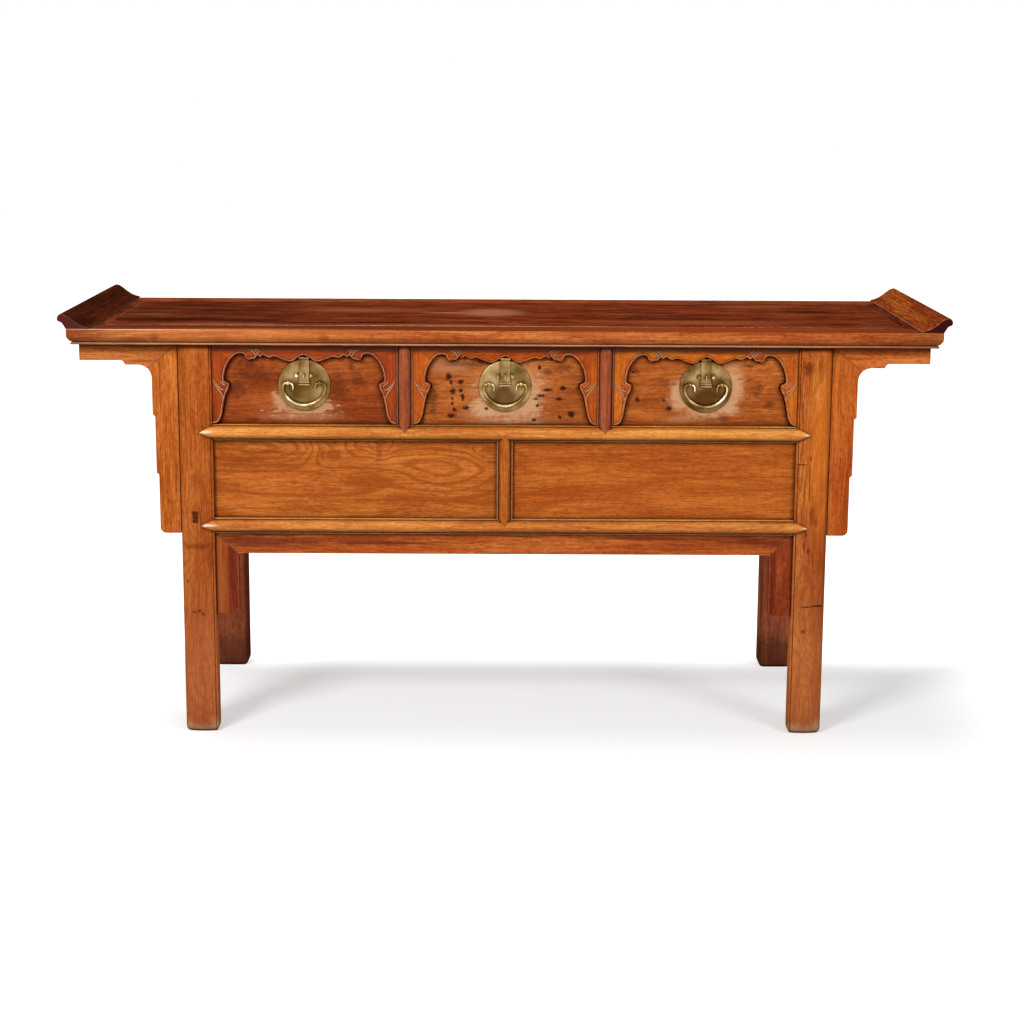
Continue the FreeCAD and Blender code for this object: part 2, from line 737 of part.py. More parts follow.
def top_board(name, near, far):
    body = block(f"{name}_board", (-board_end, board_end), (near, far), (board_under, board_top))
    low, high = near, far
    if name == "front":
        low = near - tongue
    else:
        high = far + tongue
    rim = block(f"{name}_rim", (-board_end - tongue, board_end + tongue), (low, high), seat)
    keys = [
        prism(f"{name}_key_{column}", "XZ", key_section(column, s.joint_clearance), near, far)
        for column in (-1, 0, 1)
    ]
    return cut(f"{name}_boards", fuse(f"{name}_whole", [body, rim]), keys)


def key_section(column, gap=0):
    middle = s.batten_spacing * column
    neck = s.key_neck / 2 + gap
    head = s.key_head / 2 + gap
    high = board_under + s.batten_key + gap
    return [
        (middle - neck, board_under),
        (middle + neck, board_under),
        (middle + head, high),
        (middle - head, high),
    ]


def batten(column):
    name = f"batten_{column}"
    middle = s.batten_spacing * column
    half = s.batten_width / 2
    depth = (-board_out, board_out)
    levels = (board_under - s.batten_height, board_under)
    bar = block(f"{name}_bar", (middle - half, middle + half), depth, levels)
    key = prism(f"{name}_key", "XZ", key_section(column), -board_out, board_out)
    tenons = [block(f"{name}_tenon_{end}", *batten_tenon(column, end)) for end in (-1, 1)]
    return fuse(f"{name}_solid", [bar, key] + tenons)


divider_places = [(word, side * drawer_pitch / 2) for word, side in sides]
divider_mortises = [
    socket(f"top_divider_{word}", *strut_tenon(middle, rail_high - s.stub_length, top_under + s.stub_length))
    for word, middle in divider_places
]
node("top_rail_front", [long_member("front_member", -1, divider_mortises)])
node("top_rail_back", [long_member("back_member", 1, [])])
right_end = end_member()
node("top_end_right", [right_end])
node("top_end_left", [mirrored("end_left", right_end)])
joint_line = s.board_joint - half_depth
node("top_boards", [top_board("front", -board_out, joint_line), top_board("back", joint_line, board_out)])
node("top_battens", [batten(column) for column in (-1, 0, 1)])
right_flange = flange()
node("flange_right", [right_flange])
node("flange_left", [mirrored("flange_mirror", right_flange)])

# Legs: round outer edges, swelling face, a bead along the inner edge, sockets for all that joins them


def leg(name, end, sockets):
    near = face * -end
    inward = -end
    bead = bend(s.leg_bead_rise, s.leg_bead)
    root = near + inward * s.leg_bead_drop
    swell_edge = near + inward * s.leg_crown
    swell = bend(s.leg_crown, s.leg_width - s.leg_bead - s.leg_round)
    far = near + inward * s.leg_depth
    corners = [
        (leg_in, far),
        (leg_in, root, bead, inward),
        (leg_in + s.leg_bead, root),
        (leg_in + s.leg_bead, swell_edge, swell, inward),
        (leg_out - s.leg_round, swell_edge, s.leg_round, inward),
        (leg_out, swell_edge + inward * s.leg_round),
        (leg_out, far),
    ]
    post = prism(f"{name}_post", "XY", corners, 0, top_under)
    tenon = block(f"{name}_tenon", *leg_tenon(1, end))
    levels = {"base": base_levels, "rail": rail_levels, "upper": upper_levels}
    rooms = [socket(f"{name}_side_{word}", *side_tenon(1, end, level)) for word, level in levels.items()]
    rooms += [
        socket(f"{name}_panel_{word}", *side_panel_box(1, level))
        for word, level in (("lower", lower_gap), ("upper", upper_gap))
    ]
    rooms.append(socket(f"{name}_spandrel", *spandrel_tongue(1, end)))
    return cut(f"{name}_solid", fuse(f"{name}_whole", [post, tenon]), rooms + sockets)


def point_room(name, levels):
    outline = rail_outline(levels, s.joint_clearance)
    return prism(f"{name}_notch", "XZ", outline, rail_face, face + s.point_depth + s.joint_clearance)


back_tenon = (-tenon_front[1], -tenon_front[0])
front_rooms = [
    socket("leg_base", *rail_tenon(1, base_levels, tenon_front)),
    socket("leg_rail", *rail_tenon(1, rail_levels, tenon_front)),
    socket("leg_panel", *front_panel(1)),
    socket("leg_apron", *apron_drop_tongue(1)),
    point_room("leg_base", base_levels),
    point_room("leg_rail", rail_levels),
]
back_rooms = [
    socket(f"leg_back_{word}", *rail_tenon(1, level, back_tenon))
    for word, level in (("base", base_levels), ("rail", rail_levels), ("upper", upper_levels))
]
back_rooms += [
    socket(f"leg_back_panel_{word}", *back_panel(1, level))
    for word, level in (("lower", lower_gap), ("upper", upper_gap))
]
for place, end, rooms in (("front", -1, front_rooms), ("back", 1, back_rooms)):
    right_leg = leg(f"leg_{place}", end, rooms)
    node(f"leg_{place}_right", [right_leg])
    node(f"leg_{place}_left", [mirrored(f"leg_{place}_mirror", right_leg)])

# Front rails, dividers and muntin


def runner_tenon(name, end):
    middle = runner_places[name]
    low = rail_high - s.runner_height + s.runner_stub_raise
    return (
        (middle - s.stub_width / 2, middle + s.stub_width / 2),
        pair(-rail_back, -rail_back + s.stub_length, end),
        (low, low + s.runner_stub_height),
    )


runner_places = {
    "outer_left": s.runner_width / 2 - leg_in,
    "inner_left": -drawer_pitch / 2,
    "inner_right": drawer_pitch / 2,
    "outer_right": leg_in - s.runner_width / 2,
}


def bearer_tenon(end):
    return (
        (-s.stub_width / 2, s.stub_width / 2),
        pair(-rail_back, -rail_back + s.stub_length, end),
        (base_low + s.runner_stub_raise, base_low + s.runner_stub_raise + s.runner_stub_height),
    )


def floor_board(side):
    reach = -rail_back + s.floor_groove
    return pair(0, side_in + s.floor_groove, side), (-reach, reach), floor_levels


def floor_rooms(name):
    return [socket(f"{name}_floor_{word}", *floor_board(side)) for word, side in sides]


divider_rooms = []
for word, middle in divider_places:
    divider_rooms += strut_room(f"divider_{word}", middle, divider_half, rail_high, top_under, 1)
muntin_room = strut_room("muntin", 0, muntin_half, base_high, rail_low, 2)
panel_rooms = [socket(f"front_panel_room_{word}", *front_panel(side)) for word, side in sides]
runner_rooms = [socket(f"rail_{name}_front", *runner_tenon(name, -1)) for name in runner_places]
node("drawer_rail_front", [
    cut("drawer_rail", moulded_rail("drawer_rail", rail_levels),
        divider_rooms + muntin_room + panel_rooms + runner_rooms)
])
node("base_rail_front", [
    cut("base_rail", moulded_rail("base_rail", base_levels),
        muntin_room + panel_rooms + floor_rooms("base_rail")
        + [socket("base_rail_apron", *apron_rail_tongue()), socket("base_rail_bearer", *bearer_tenon(-1))])
])
for word, middle in divider_places:
    node(f"drawer_divider_{word}", [
        moulded_strut(f"divider_{word}_strut", middle, divider_half, rail_high, top_under, 1)
    ])
muntin_strut = moulded_strut("muntin_strut", 0, muntin_half, base_high, rail_low, 2)
node("front_muntin", [cut("muntin", muntin_strut, panel_rooms)])
for word, side in sides:
    node(f"front_panel_{word}", [block(f"front_panel_{word}", *front_panel(side))])

# Back rails, muntins and panels


def back_rail(name, levels, rooms):
    bar = block(f"{name}_bar", (-leg_in, leg_in), (-rail_back, -face), levels)
    tenons = [block(f"{name}_tenon_{word}", *rail_tenon(side, levels, back_tenon)) for word, side in sides]
    return cut(f"{name}_solid", fuse(f"{name}_whole", [bar] + tenons), rooms)


back_gaps = {"lower": lower_gap, "upper": upper_gap}
back_panel_rooms = {
    level: [socket(f"back_panel_{level}_{word}", *back_panel(side, gap)) for word, side in sides]
    for level, gap in back_gaps.items()
}


def back_muntin_tenon(gap):
    return strut_tenon(0, gap[0] - s.stub_length, gap[1] + s.stub_length, 1)


back_tenon_rooms = {
    level: socket(f"back_muntin_{level}_room", *back_muntin_tenon(gap)) for level, gap in back_gaps.items()
}
node("upper_rail_back", [
    back_rail("upper_rail", upper_levels, back_panel_rooms["upper"] + [back_tenon_rooms["upper"]])
])
node("drawer_rail_back", [
    back_rail("rail_behind", rail_levels,
              back_panel_rooms["upper"] + back_panel_rooms["lower"] + list(back_tenon_rooms.values())
              + [socket(f"rail_{name}_back", *runner_tenon(name, 1)) for name in runner_places])
])
node("base_rail_back", [
    back_rail("base_behind", base_levels,
              back_panel_rooms["lower"] + [back_tenon_rooms["lower"]] + floor_rooms("base_behind")
              + [socket("base_behind_bearer", *bearer_tenon(1))])
])


def back_muntin(level):
    gap = back_gaps[level]
    name = f"back_muntin_{level}"
    bar = block(f"{name}_bar", (-muntin_half, muntin_half), (-rail_back, -face), gap)
    tenon = block(f"{name}_tenon", *back_muntin_tenon(gap))
    return cut(f"{name}_solid", fuse(f"{name}_whole", [bar, tenon]), back_panel_rooms[level])


node("back_muntins", [back_muntin(level) for level in back_gaps])
node("back_panels", [
    block(f"back_{level}_{word}", *back_panel(side, gap))
    for level, gap in back_gaps.items()
    for word, side in sides
])

# Sides: three rails and two panels each


def side_rail(name, side, levels, rooms):
    bar = block(f"{name}_bar", pair(side_in, side_out, side), (leg_back, -leg_back), levels)
    tenons = [block(f"{name}_tenon_{end}", *side_tenon(side, end, levels)) for end in (-1, 1)]
    return cut(f"{name}_solid", fuse(f"{name}_whole", [bar] + tenons), rooms)


for word, side in sides:
    rooms = {
        level: socket(f"side_{word}_{level}_room", *side_panel_box(side, gap))
        for level, gap in back_gaps.items()
    }
    base_rooms = [rooms["lower"]] + floor_rooms(f"side_base_{word}")
    node(f"side_rails_{word}", [
        side_rail(f"side_base_{word}", side, base_levels, base_rooms),
        side_rail(f"side_middle_{word}", side, rail_levels, list(rooms.values())),
        side_rail(f"side_upper_{word}", side, upper_levels, [rooms["upper"]]),
    ])
    node(f"side_panels_{word}", [
        block(f"side_panel_{word}_{level}", *side_panel_box(side, gap)) for level, gap in back_gaps.items()
    ])

# Spandrels: an arm under the top and a stepped drop beside the leg, mitred together


def spandrel(name, end):
    def at(out, down):
        return leg_out + out, top_under - down

    depth = (face + s.spandrel_recess, face + s.spandrel_recess + s.spandrel_thickness)
    if end > 0:
        depth = (-depth[1], -depth[0])
    curve = s.bracket_radius
    shelf = s.arm_height + s.arm_step
    hub = (s.drop_width + curve, shelf + curve)
    mitre = at(hub[0] - curve * HALF_ROOT, hub[1] - curve * HALF_ROOT)
    arm = [
        at(0, 0),
        (*mitre, curve, -1),
        at(hub[0], shelf),
        (*at(s.arm_step_out, shelf), s.arm_step, -1),
        at(s.arm_step_out + s.arm_step, s.arm_height),
        at(s.arm_length, s.arm_height),
        at(s.arm_length, 0),
    ]
    middle = s.drop_width - s.drop_step
    lower = middle - s.drop_step
    drop = [
        at(0, 0),
        at(0, s.drop_length),
        (*at(lower - s.drop_round, s.drop_length), s.drop_round, 1),
        at(lower, s.drop_length - s.drop_round),
        (*at(lower, s.drop_middle + s.drop_step), s.drop_step, -1),
        at(middle, s.drop_middle),
        (*at(middle, s.drop_upper + s.drop_step), s.drop_step, -1),
        at(s.drop_width, s.drop_upper),
        (*at(s.drop_width, hub[1]), curve, -1),
        mitre,
    ]
    tongue_piece = block(f"{name}_tongue", *spandrel_tongue(1, end))
    return [
        prism(f"{name}_arm", "XZ", arm, *depth),
        fuse(f"{name}_drop_solid", [prism(f"{name}_drop", "XZ", drop, *depth), tongue_piece]),
    ]


for place, end in (("front", -1), ("back", 1)):
    right_pair = spandrel(f"spandrel_{place}", end)
    node(f"spandrel_{place}_right", right_pair)
    node(f"spandrel_{place}_left", [
        mirrored(f"spandrel_{place}_mirror_{index}", piece) for index, piece in enumerate(right_pair)
    ])

# Apron: a rail and two short drops, mitred


def apron():
    depth = (face + s.apron_recess, face + s.apron_recess + s.apron_thickness)
    low = base_low - s.apron_height
    foot = base_low - s.apron_drop_length
    inner = leg_in - s.apron_drop_width
    curve = s.apron_fillet
    hub = (inner - curve, low - curve)
    mitre = (hub[0] + curve * HALF_ROOT, hub[1] + curve * HALF_ROOT)
    rail = [
        (leg_in, base_low),
        (-leg_in, base_low),
        (-mitre[0], mitre[1], curve, -1),
        (-hub[0], low),
        (hub[0], low, curve, -1),
        mitre,
    ]
    drop = [
        (leg_in, base_low),
        (*mitre, curve, -1),
        (inner, hub[1]),
        (inner, foot + s.apron_round, s.apron_round, 1),
        (inner + s.apron_round, foot),
        (leg_in, foot),
    ]
    rail_piece = fuse("apron_rail_solid", [
        prism("apron_rail", "XZ", rail, *depth), block("apron_rail_tongue", *apron_rail_tongue())
    ])
    right = fuse("apron_drop_solid", [
        prism("apron_drop", "XZ", drop, *depth), block("apron_drop_tongue", *apron_drop_tongue(1))
    ])
    return [rail_piece, mirrored("apron_drop_left", right), right]


node("apron_front", apron())

# Floor of the hidden compartment, and the runners that carry the drawers


def floor_half(word, side):
    board = block(f"floor_{word}_board", *floor_board(side))
    gap = s.joint_clearance
    across = pair(leg_in - gap, leg_out, side)
    corners = [
        block(f"floor_{word}_corner_{end}", across, pair(-leg_back - gap, -face, end), floor_levels)
        for end in (-1, 1)
    ]
    return cut(f"floor_{word}_solid", board, corners)


node("floor_boards", [floor_half(word, side) for word, side in sides])
bearer_half = s.bearer_width / 2
bearer_bar = block("bearer_bar", (-bearer_half, bearer_half), (rail_back, -rail_back), (base_low, floor_low))
bearer_tenons = [block(f"bearer_tenon_{end}", *bearer_tenon(end)) for end in (-1, 1)]
node("floor_bearer", [fuse("bearer", [bearer_bar] + bearer_tenons)])


def runner(name):
    middle = runner_places[name]
    low = rail_high - s.runner_height
    depth = (rail_back, -rail_back)
    tenons = [block(f"{name}_tenon_{end}", *runner_tenon(name, end)) for end in (-1, 1)]
    if "inner" in name:
        half = divider_half + s.runner_ledge
        bar = block(f"{name}_bar", (middle - half, middle + half), depth, (low, rail_high))
        guide = block(f"{name}_guide", (middle - divider_half, middle + divider_half), depth,
                      (rail_high, rail_high + s.guide_height))
    else:
        side = 1 if "right" in name else -1
        bar = block(f"{name}_bar", pair(leg_in - s.runner_width, leg_in, side), depth, (low, rail_high))
        guide = block(f"{name}_guide", pair(leg_in, leg_in + s.guide_width, side), (leg_back, -leg_back),
                      (low, rail_high + s.guide_height))
    return fuse(f"{name}_runner", [bar, guide] + tenons)


node("drawer_runners", [runner(name) for name in runner_places])

# Drawers

drawer_half = opening / 2 - s.drawer_gap
drawer_low = rail_high + s.drawer_lift
drawer_high = top_under - s.drawer_headroom
strip_face = face + s.strip_recess
board_face = strip_face + s.strip_thickness
board_rear = board_face + s.front_thickness
drawer_end = -rail_back - s.drawer_back_room
plate_level = drawer_high - s.plate_drop
plate_face = board_face - s.plate_thickness
pin_level = plate_level + s.hinge_rise
pin_depth = board_face - s.hinge_out
lock_level = plate_level + s.lock_rise
bail_level = plate_level + s.bail_rise
eye_bore = s.bail_wire + 2 * s.pin_clearance
eye_outside = eye_bore + 2 * s.eye_wall
bail_depth = plate_face - eye_outside / 2
stem_end = board_face + s.stem_length


def round_stems(middle):
    """Centres of the round stems: bail eyes, lock posts and the centre staple."""
    out = s.bail_spacing / 2
    lock = s.lock_spacing / 2
    return {
        "eye_left": (middle - out, bail_level),
        "eye_right": (middle + out, bail_level),
        "lock_left": (middle - lock, lock_level),
        "lock_right": (middle + lock, lock_level),
        "staple": (middle, lock_level),
    }


def lug_box(middle, side, gap):
    inner = s.barrel_length / 2 + s.pin_clearance
    wide = (inner - gap, inner + s.hinge_lug + gap)
    across = (middle + wide[0], middle + wide[1]) if side > 0 else (middle - wide[1], middle - wide[0])
    half = s.lug_height / 2 + gap
    return across, (pin_depth - s.lug_height / 2, stem_end + gap), (pin_level - half, pin_level + half)


def stem_rooms(name, middle):
    gap = s.joint_clearance
    bore = s.stem_diameter + 2 * gap
    return [
        rod(f"{name}_{stem}_hole", "Y", centre, plate_face - gap, stem_end + gap, bore)
        for stem, centre in round_stems(middle).items()
    ] + [block(f"{name}_lug_room_{word}", *lug_box(middle, side, gap)) for word, side in sides]


def drawer_boards(name, middle):
    """Front board, two sides, back and bottom, let into each other."""
    width = (middle - drawer_half, middle + drawer_half)
    side_levels = (drawer_low, drawer_high - s.side_drop)
    inner = drawer_half - s.side_thickness
    side_boxes = {
        word: (
            (middle + inner, middle + drawer_half) if side > 0 else (middle - drawer_half, middle - inner),
            (board_rear - s.side_lap, drawer_end),
            side_levels,
        )
        for word, side in sides
    }
    bottom_low = drawer_low + s.bottom_raise
    bottom_high = bottom_low + s.bottom_thickness
    bottom_half = inner + s.bottom_groove
    bottom_box = (
        (middle - bottom_half, middle + bottom_half),
        (board_rear - s.bottom_groove, drawer_end),
        (bottom_low, bottom_high),
    )
    rooms = [socket(f"{name}_front_{word}", *box) for word, box in side_boxes.items()]
    rooms.append(socket(f"{name}_front_bottom", *bottom_box))
    board = block(f"{name}_front_board", width, (board_face, board_rear), (drawer_low, drawer_high))
    front = cut(f"{name}_front_solid", board, rooms + stem_rooms(f"{name}_front", middle))
    walls = [
        cut(f"{name}_side_{word}", block(f"{name}_side_{word}_board", *box),
            [socket(f"{name}_side_{word}_groove", *bottom_box)])
        for word, box in side_boxes.items()
    ]
    back_levels = (bottom_high, drawer_high - s.side_drop)
    back_depth = (drawer_end - s.side_thickness, drawer_end)
    back = block(f"{name}_back", (middle - inner, middle + inner), back_depth, back_levels)
    return front, walls + [back], block(f"{name}_bottom", *bottom_box)


def edge_curves(points):
    """Arcs through start, middle and end of each stretch of the carved edge."""
    curves = []
    for start, through, end in points:
        curves.append(Part.Arc(start, through, end).toShape())
    return curves


def carved_strips(middle):
    """Top strip and two side strips with their carved inner edge, mitred at the upper corners."""
    centre = value_of(middle)
    half = drawer_half.value
    high = drawer_high.value
    low = drawer_low.value
    depth = strip_face.value

    def at(out, down, side=1):
        return FreeCAD.Vector(centre + side * out, depth, high - down)

    peak = (0, s.carve_peak.value)
    shoulder = (s.carve_shoulder_out.value, s.carve_shoulder.value)
    dip = (s.carve_dip_out.value, s.carve_dip.value)
    cusp = (half - s.carve_cusp_in.value, s.carve_cusp.value)
    crest = ((dip[0] + cusp[0]) / 2, s.carve_crest.value)
    hook = (half - s.carve_hook_in.value, s.carve_hook.value)
    sweep = (half - s.carve_sweep_in.value, s.carve_sweep_top.value)
    corner = (half - s.carve_corner_in.value, s.carve_corner.value)
    side_top = (half - s.carve_side.value, s.carve_sweep_end.value)
    leaf = (half - s.carve_leaf_in.value, s.carve_leaf.value)
    leaf_foot = (half - (s.carve_side.value + s.carve_leaf_in.value) / 2, s.carve_leaf_foot.value)
    foot = (half - s.carve_foot_in.value, high - low - s.carve_foot.value)
    outer_foot = (half, high - low)

    def between(start, end, rise):
        """The middle of a stretch, lifted off its chord towards the strip by so much of its length."""
        run = (end[0] - start[0], end[1] - start[1])
        return ((start[0] + end[0]) / 2 + run[1] * rise, (start[1] + end[1]) / 2 - run[0] * rise)

    # How far a stretch bows off its chord, as a share of its length: the strip's edge draws in or swells out.
    hollow = 0.12
    swell = -0.16
    deep = 0.3
    top_edge = [
        (peak, shoulder, hollow),
        (shoulder, dip, swell),
        (dip, crest, hollow),
        (crest, cusp, deep / 2),
        (cusp, hook, deep),
        (hook, sweep, hollow),
        (sweep, corner, hollow),
    ]
    side_edge = [
        (corner, side_top, hollow),
        (side_top, leaf, swell),
        (leaf, leaf_foot, swell),
        (leaf_foot, foot, hollow),
        (foot, outer_foot, swell),
    ]

    def curves(stretches, side):
        return edge_curves([
            (at(*start, side), at(*between(start, end, rise), side), at(*end, side))
            for start, end, rise in stretches
        ])

    def solid(edges):
        wire = Part.Wire(Part.__sortEdges__(edges))
        return Part.Face(wire).extrude(FreeCAD.Vector(0, s.strip_thickness.value, 0))

    top = [
        Part.makeLine(at(*corner, -1), at(half, 0, -1)),
        Part.makeLine(at(half, 0, -1), at(half, 0)),
        Part.makeLine(at(half, 0), at(*corner)),
    ]
    strips = [solid(top + curves(top_edge, -1) + curves(top_edge, 1))]
    for word, side in sides:
        outer = [
            Part.makeLine(at(*corner, side), at(half, 0, side)),
            Part.makeLine(at(half, 0, side), at(*outer_foot, side)),
        ]
        strips.append(solid(outer + curves(side_edge, side)))
    return Part.Compound(strips)


def brass_plate(name, middle):
    disc = rod(f"{name}_disc", "Y", (middle, plate_level), plate_face, board_face, s.plate_diameter)
    return cut(f"{name}_plate", disc, stem_rooms(f"{name}_plate", middle))


def staples(name, middle):
    """Bail eyes, lock posts, the centre staple and the hasp's hinge staple, each with its stem."""
    stems = round_stems(middle)
    solids = []
    for word, side in sides:
        x, z = stems[f"eye_{word}"]
        wide = (x - s.eye_width / 2, x + s.eye_width / 2)
        ring = rod(f"{name}_ring_{word}", "X", (bail_depth, z), *wide, eye_outside)
        root = plate_face - s.eye_wall / 2
        stem = rod(f"{name}_ring_stem_{word}", "Y", (x, z), root, stem_end, s.stem_diameter)
        bore = rod(f"{name}_ring_bore_{word}", "X", (bail_depth, z), *wide, eye_bore)
        solids.append(cut(f"{name}_eye_{word}", fuse(f"{name}_eye_{word}_whole", [ring, stem]), [bore]))
    for word, side in sides:
        x, z = stems[f"lock_{word}"]
        tip = plate_face - s.lock_out
        post = rod(f"{name}_post_{word}", "Y", (x, z), tip, plate_face, s.lock_diameter)
        stem = rod(f"{name}_post_stem_{word}", "Y", (x, z), tip, stem_end, s.stem_diameter)
        half = s.lock_diameter / 2
        bore = rod(f"{name}_post_bore_{word}", "X", (tip + half, z), x - half, x + half, s.lock_eye)
        solids.append(cut(f"{name}_lock_{word}", fuse(f"{name}_lock_{word}_whole", [post, stem]), [bore]))
    tip = plate_face - s.lock_out
    half = s.staple_width / 2
    levels = (lock_level - s.staple_height / 2, lock_level + s.staple_height / 2)
    plate = block(f"{name}_staple_plate", (middle - half, middle + half), (tip, plate_face), levels)
    stem = rod(f"{name}_staple_stem", "Y", stems["staple"], plate_face, stem_end, s.stem_diameter)
    eye = (tip + s.lock_diameter / 2, lock_level)
    bore = rod(f"{name}_staple_bore", "X", eye, middle - half, middle + half, s.lock_eye)
    solids.append(cut(f"{name}_staple", fuse(f"{name}_staple_whole", [plate, stem]), [bore]))
    lugs = [block(f"{name}_lug_{word}", *lug_box(middle, side, 0)) for word, side in sides]
    reach = s.pin_length / 2
    pin = rod(f"{name}_pin", "X", (pin_depth, pin_level), middle - reach, middle + reach, s.pin_diameter)
    solids.append(fuse(f"{name}_hinge", lugs + [pin]))
    return solids


def hasp(name, middle):
    """A plate that hangs from its barrel, with a slot for the centre staple and two ridges at its foot."""
    foot = pin_level - s.hasp_length
    depth = (pin_depth - s.hasp_thickness / 2, pin_depth + s.hasp_thickness / 2)
    half = s.hasp_width / 2
    neck = s.barrel_length / 2
    across = (middle - half, middle + half)
    knuckle = (middle - neck, middle + neck)
    pin = (pin_depth, pin_level)
    neck_level = pin_level - s.hasp_neck
    plate = block(f"{name}_hasp_plate", across, depth, (foot, neck_level))
    shank = block(f"{name}_hasp_neck", knuckle, depth, (neck_level, pin_level))
    barrel = rod(f"{name}_barrel", "X", pin, *knuckle, s.barrel_diameter)
    first_ridge = foot + s.ridge_diameter / 2
    ridge_levels = (first_ridge, first_ridge + s.ridge_spacing)
    ridges = [
        rod(f"{name}_ridge_{index}", "X", (depth[0], level), *across, s.ridge_diameter)
        for index, level in enumerate(ridge_levels)
    ]
    bore = rod(f"{name}_barrel_bore", "X", pin, *knuckle, s.pin_diameter + 2 * s.pin_clearance)
    wide = s.staple_width / 2 + s.slot_room
    tall = s.staple_height / 2 + s.slot_room
    slot = block(f"{name}_slot", (middle - wide, middle + wide), depth, (lock_level - tall, lock_level + tall))
    back = (depth[1], depth[1] + s.ridge_diameter)
    behind = block(f"{name}_ridge_back", across, back, (foot, foot + s.ridge_diameter + s.ridge_spacing))
    whole = fuse(f"{name}_hasp_whole", [plate, shank, barrel] + ridges)
    return cut(f"{name}_hasp", whole, [bore, slot, behind])


def bail(name, middle):
    """A bail of round wire: hooked ends, straight in the eyes, over the shoulders and round below."""
    out = s.bail_width / 2
    eye = s.bail_spacing / 2
    over = s.bail_shoulder
    reach = s.bail_drop - over
    small = s.bail_corner
    large = (out * out + reach * reach - 2 * out * small) / (2 * reach - 2 * small)
    share = large / (large - small)
    low = bail_level - s.bail_drop
    join = ((out - small) * share, low + large - (large - reach) * share)
    outer = eye + s.journal_length / 2
    inner = eye - s.journal_length / 2
    spring = bail_level - over
    tip = inner - s.bail_hook
    turn = bail_level - s.bail_hook
    half = [
        (tip, turn - s.bail_tip),
        (tip, turn, s.bail_hook, -1),
        (inner, bail_level),
        (outer, bail_level, over, -1),
        (outer + over, spring, small, -1),
        (*join, large, -1),
    ]
    path = [(middle + corner[0], *corner[1:]) for corner in half]
    other = []
    for index in (5, 4, 3, 2, 1, 0):
        corner = half[index]
        arc = {5: half[4], 4: half[3], 2: half[1]}.get(index)
        place = (middle - corner[0], corner[1])
        other.append(place + (arc[2], arc[3]) if arc else place)
    body = doc.addObject("PartDesign::Body", f"{name}_bail")
    spine = draw(body, f"{name}_spine", "XZ", path + other, closed=False)
    ring = body.newObject("Sketcher::SketchObject", f"{name}_wire")
    support = [item for item in body.Origin.OriginFeatures if item.Role == "XY_Plane"]
    ring.AttachmentSupport = [(support[0], "")]
    ring.MapMode = "FlatFace"
    bind(ring, "AttachmentOffset.Base.z", turn - s.bail_tip)
    centre = FreeCAD.Vector(value_of(middle + tip), 0, 0)
    ring.addGeometry(Part.Circle(centre, FreeCAD.Vector(0, 0, 1), s.bail_wire.value / 2), False)
    rules = [
        (Sketcher.Constraint("Radius", 0, s.bail_wire.value / 2), s.bail_wire / 2),
        (Sketcher.Constraint("DistanceX", -1, 1, 0, 3, centre.x), middle + tip),
    ]
    for rule, size in rules:
        bind(ring, f"Constraints[{ring.addConstraint(rule)}]", size)
    ring.addConstraint(Sketcher.Constraint("PointOnObject", 0, 3, -1))
    pipe = body.newObject("PartDesign::AdditivePipe", f"{name}_pipe")
    pipe.Profile = ring
    pipe.Spine = (spine, [])
    bind(body, "Placement.Base.y", bail_depth)
    return body


for word, column in drawers:
    name = f"drawer_{word}"
    middle = drawer_pitch * column
    front, walls, bottom = drawer_boards(name, middle)
    node(f"{name}_front", [front])
    node(f"{name}_box", walls)
    node(f"{name}_bottom", [bottom])
    strips = doc.addObject("Part::Feature", f"{name}_strips")
    strips.Shape = carved_strips(middle)
    node(f"{name}_frame", [strips])
    node(f"{name}_plate", [brass_plate(name, middle)])
    node(f"{name}_staples", staples(name, middle))
    node(f"{name}_hasp", [hasp(name, middle)])
    node(f"{name}_bail", [bail(name, middle)])

doc.recompute()

failed = [item.Name for item in doc.Objects if "Invalid" in item.State or "Error" in item.State]
if failed:
    raise RuntimeError(f"not built: {failed}")
for piece in nodes:
    if piece.Shape.isNull() or not piece.Shape.isValid():
        raise RuntimeError(f"no valid shape: {piece.Label}")

os.makedirs("parts", exist_ok=True)
for piece in nodes:
    piece.Shape.exportStep(f"parts/{piece.Label}.step")
    print(f"{piece.Label}: {len(piece.Shape.Solids)} solid(s), {piece.Shape.Volume / 1000:.1f} cm3")
print(f"{len(nodes)} nodes")
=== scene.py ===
import math

import bmesh
import bpy
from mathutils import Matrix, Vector


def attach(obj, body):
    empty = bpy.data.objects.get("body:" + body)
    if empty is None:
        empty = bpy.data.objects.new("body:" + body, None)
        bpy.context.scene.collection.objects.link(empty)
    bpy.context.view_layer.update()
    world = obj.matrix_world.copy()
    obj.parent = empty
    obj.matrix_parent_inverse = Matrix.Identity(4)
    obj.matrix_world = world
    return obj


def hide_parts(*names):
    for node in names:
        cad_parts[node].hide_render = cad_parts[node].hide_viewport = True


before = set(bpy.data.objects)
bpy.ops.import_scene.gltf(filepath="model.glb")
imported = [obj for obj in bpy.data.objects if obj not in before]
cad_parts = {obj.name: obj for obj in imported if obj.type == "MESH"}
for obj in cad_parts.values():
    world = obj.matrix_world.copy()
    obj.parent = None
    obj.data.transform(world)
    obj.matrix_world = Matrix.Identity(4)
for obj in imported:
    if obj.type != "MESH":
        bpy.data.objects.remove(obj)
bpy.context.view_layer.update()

# Altar coffer: X runs along the front, the front faces -Y, Z is up. Lengths below are in mm unless noted.
scene = bpy.context.scene
mm = 0.001
print("frame loaded:", len(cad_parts), "nodes")


def linear(hexCode):
    channels = [int(hexCode[i:i + 2], 16) / 255 for i in (0, 2, 4)]
    return (*[c / 12.92 if c <= 0.04045 else ((c + 0.055) / 1.055) ** 2.4 for c in channels], 1)


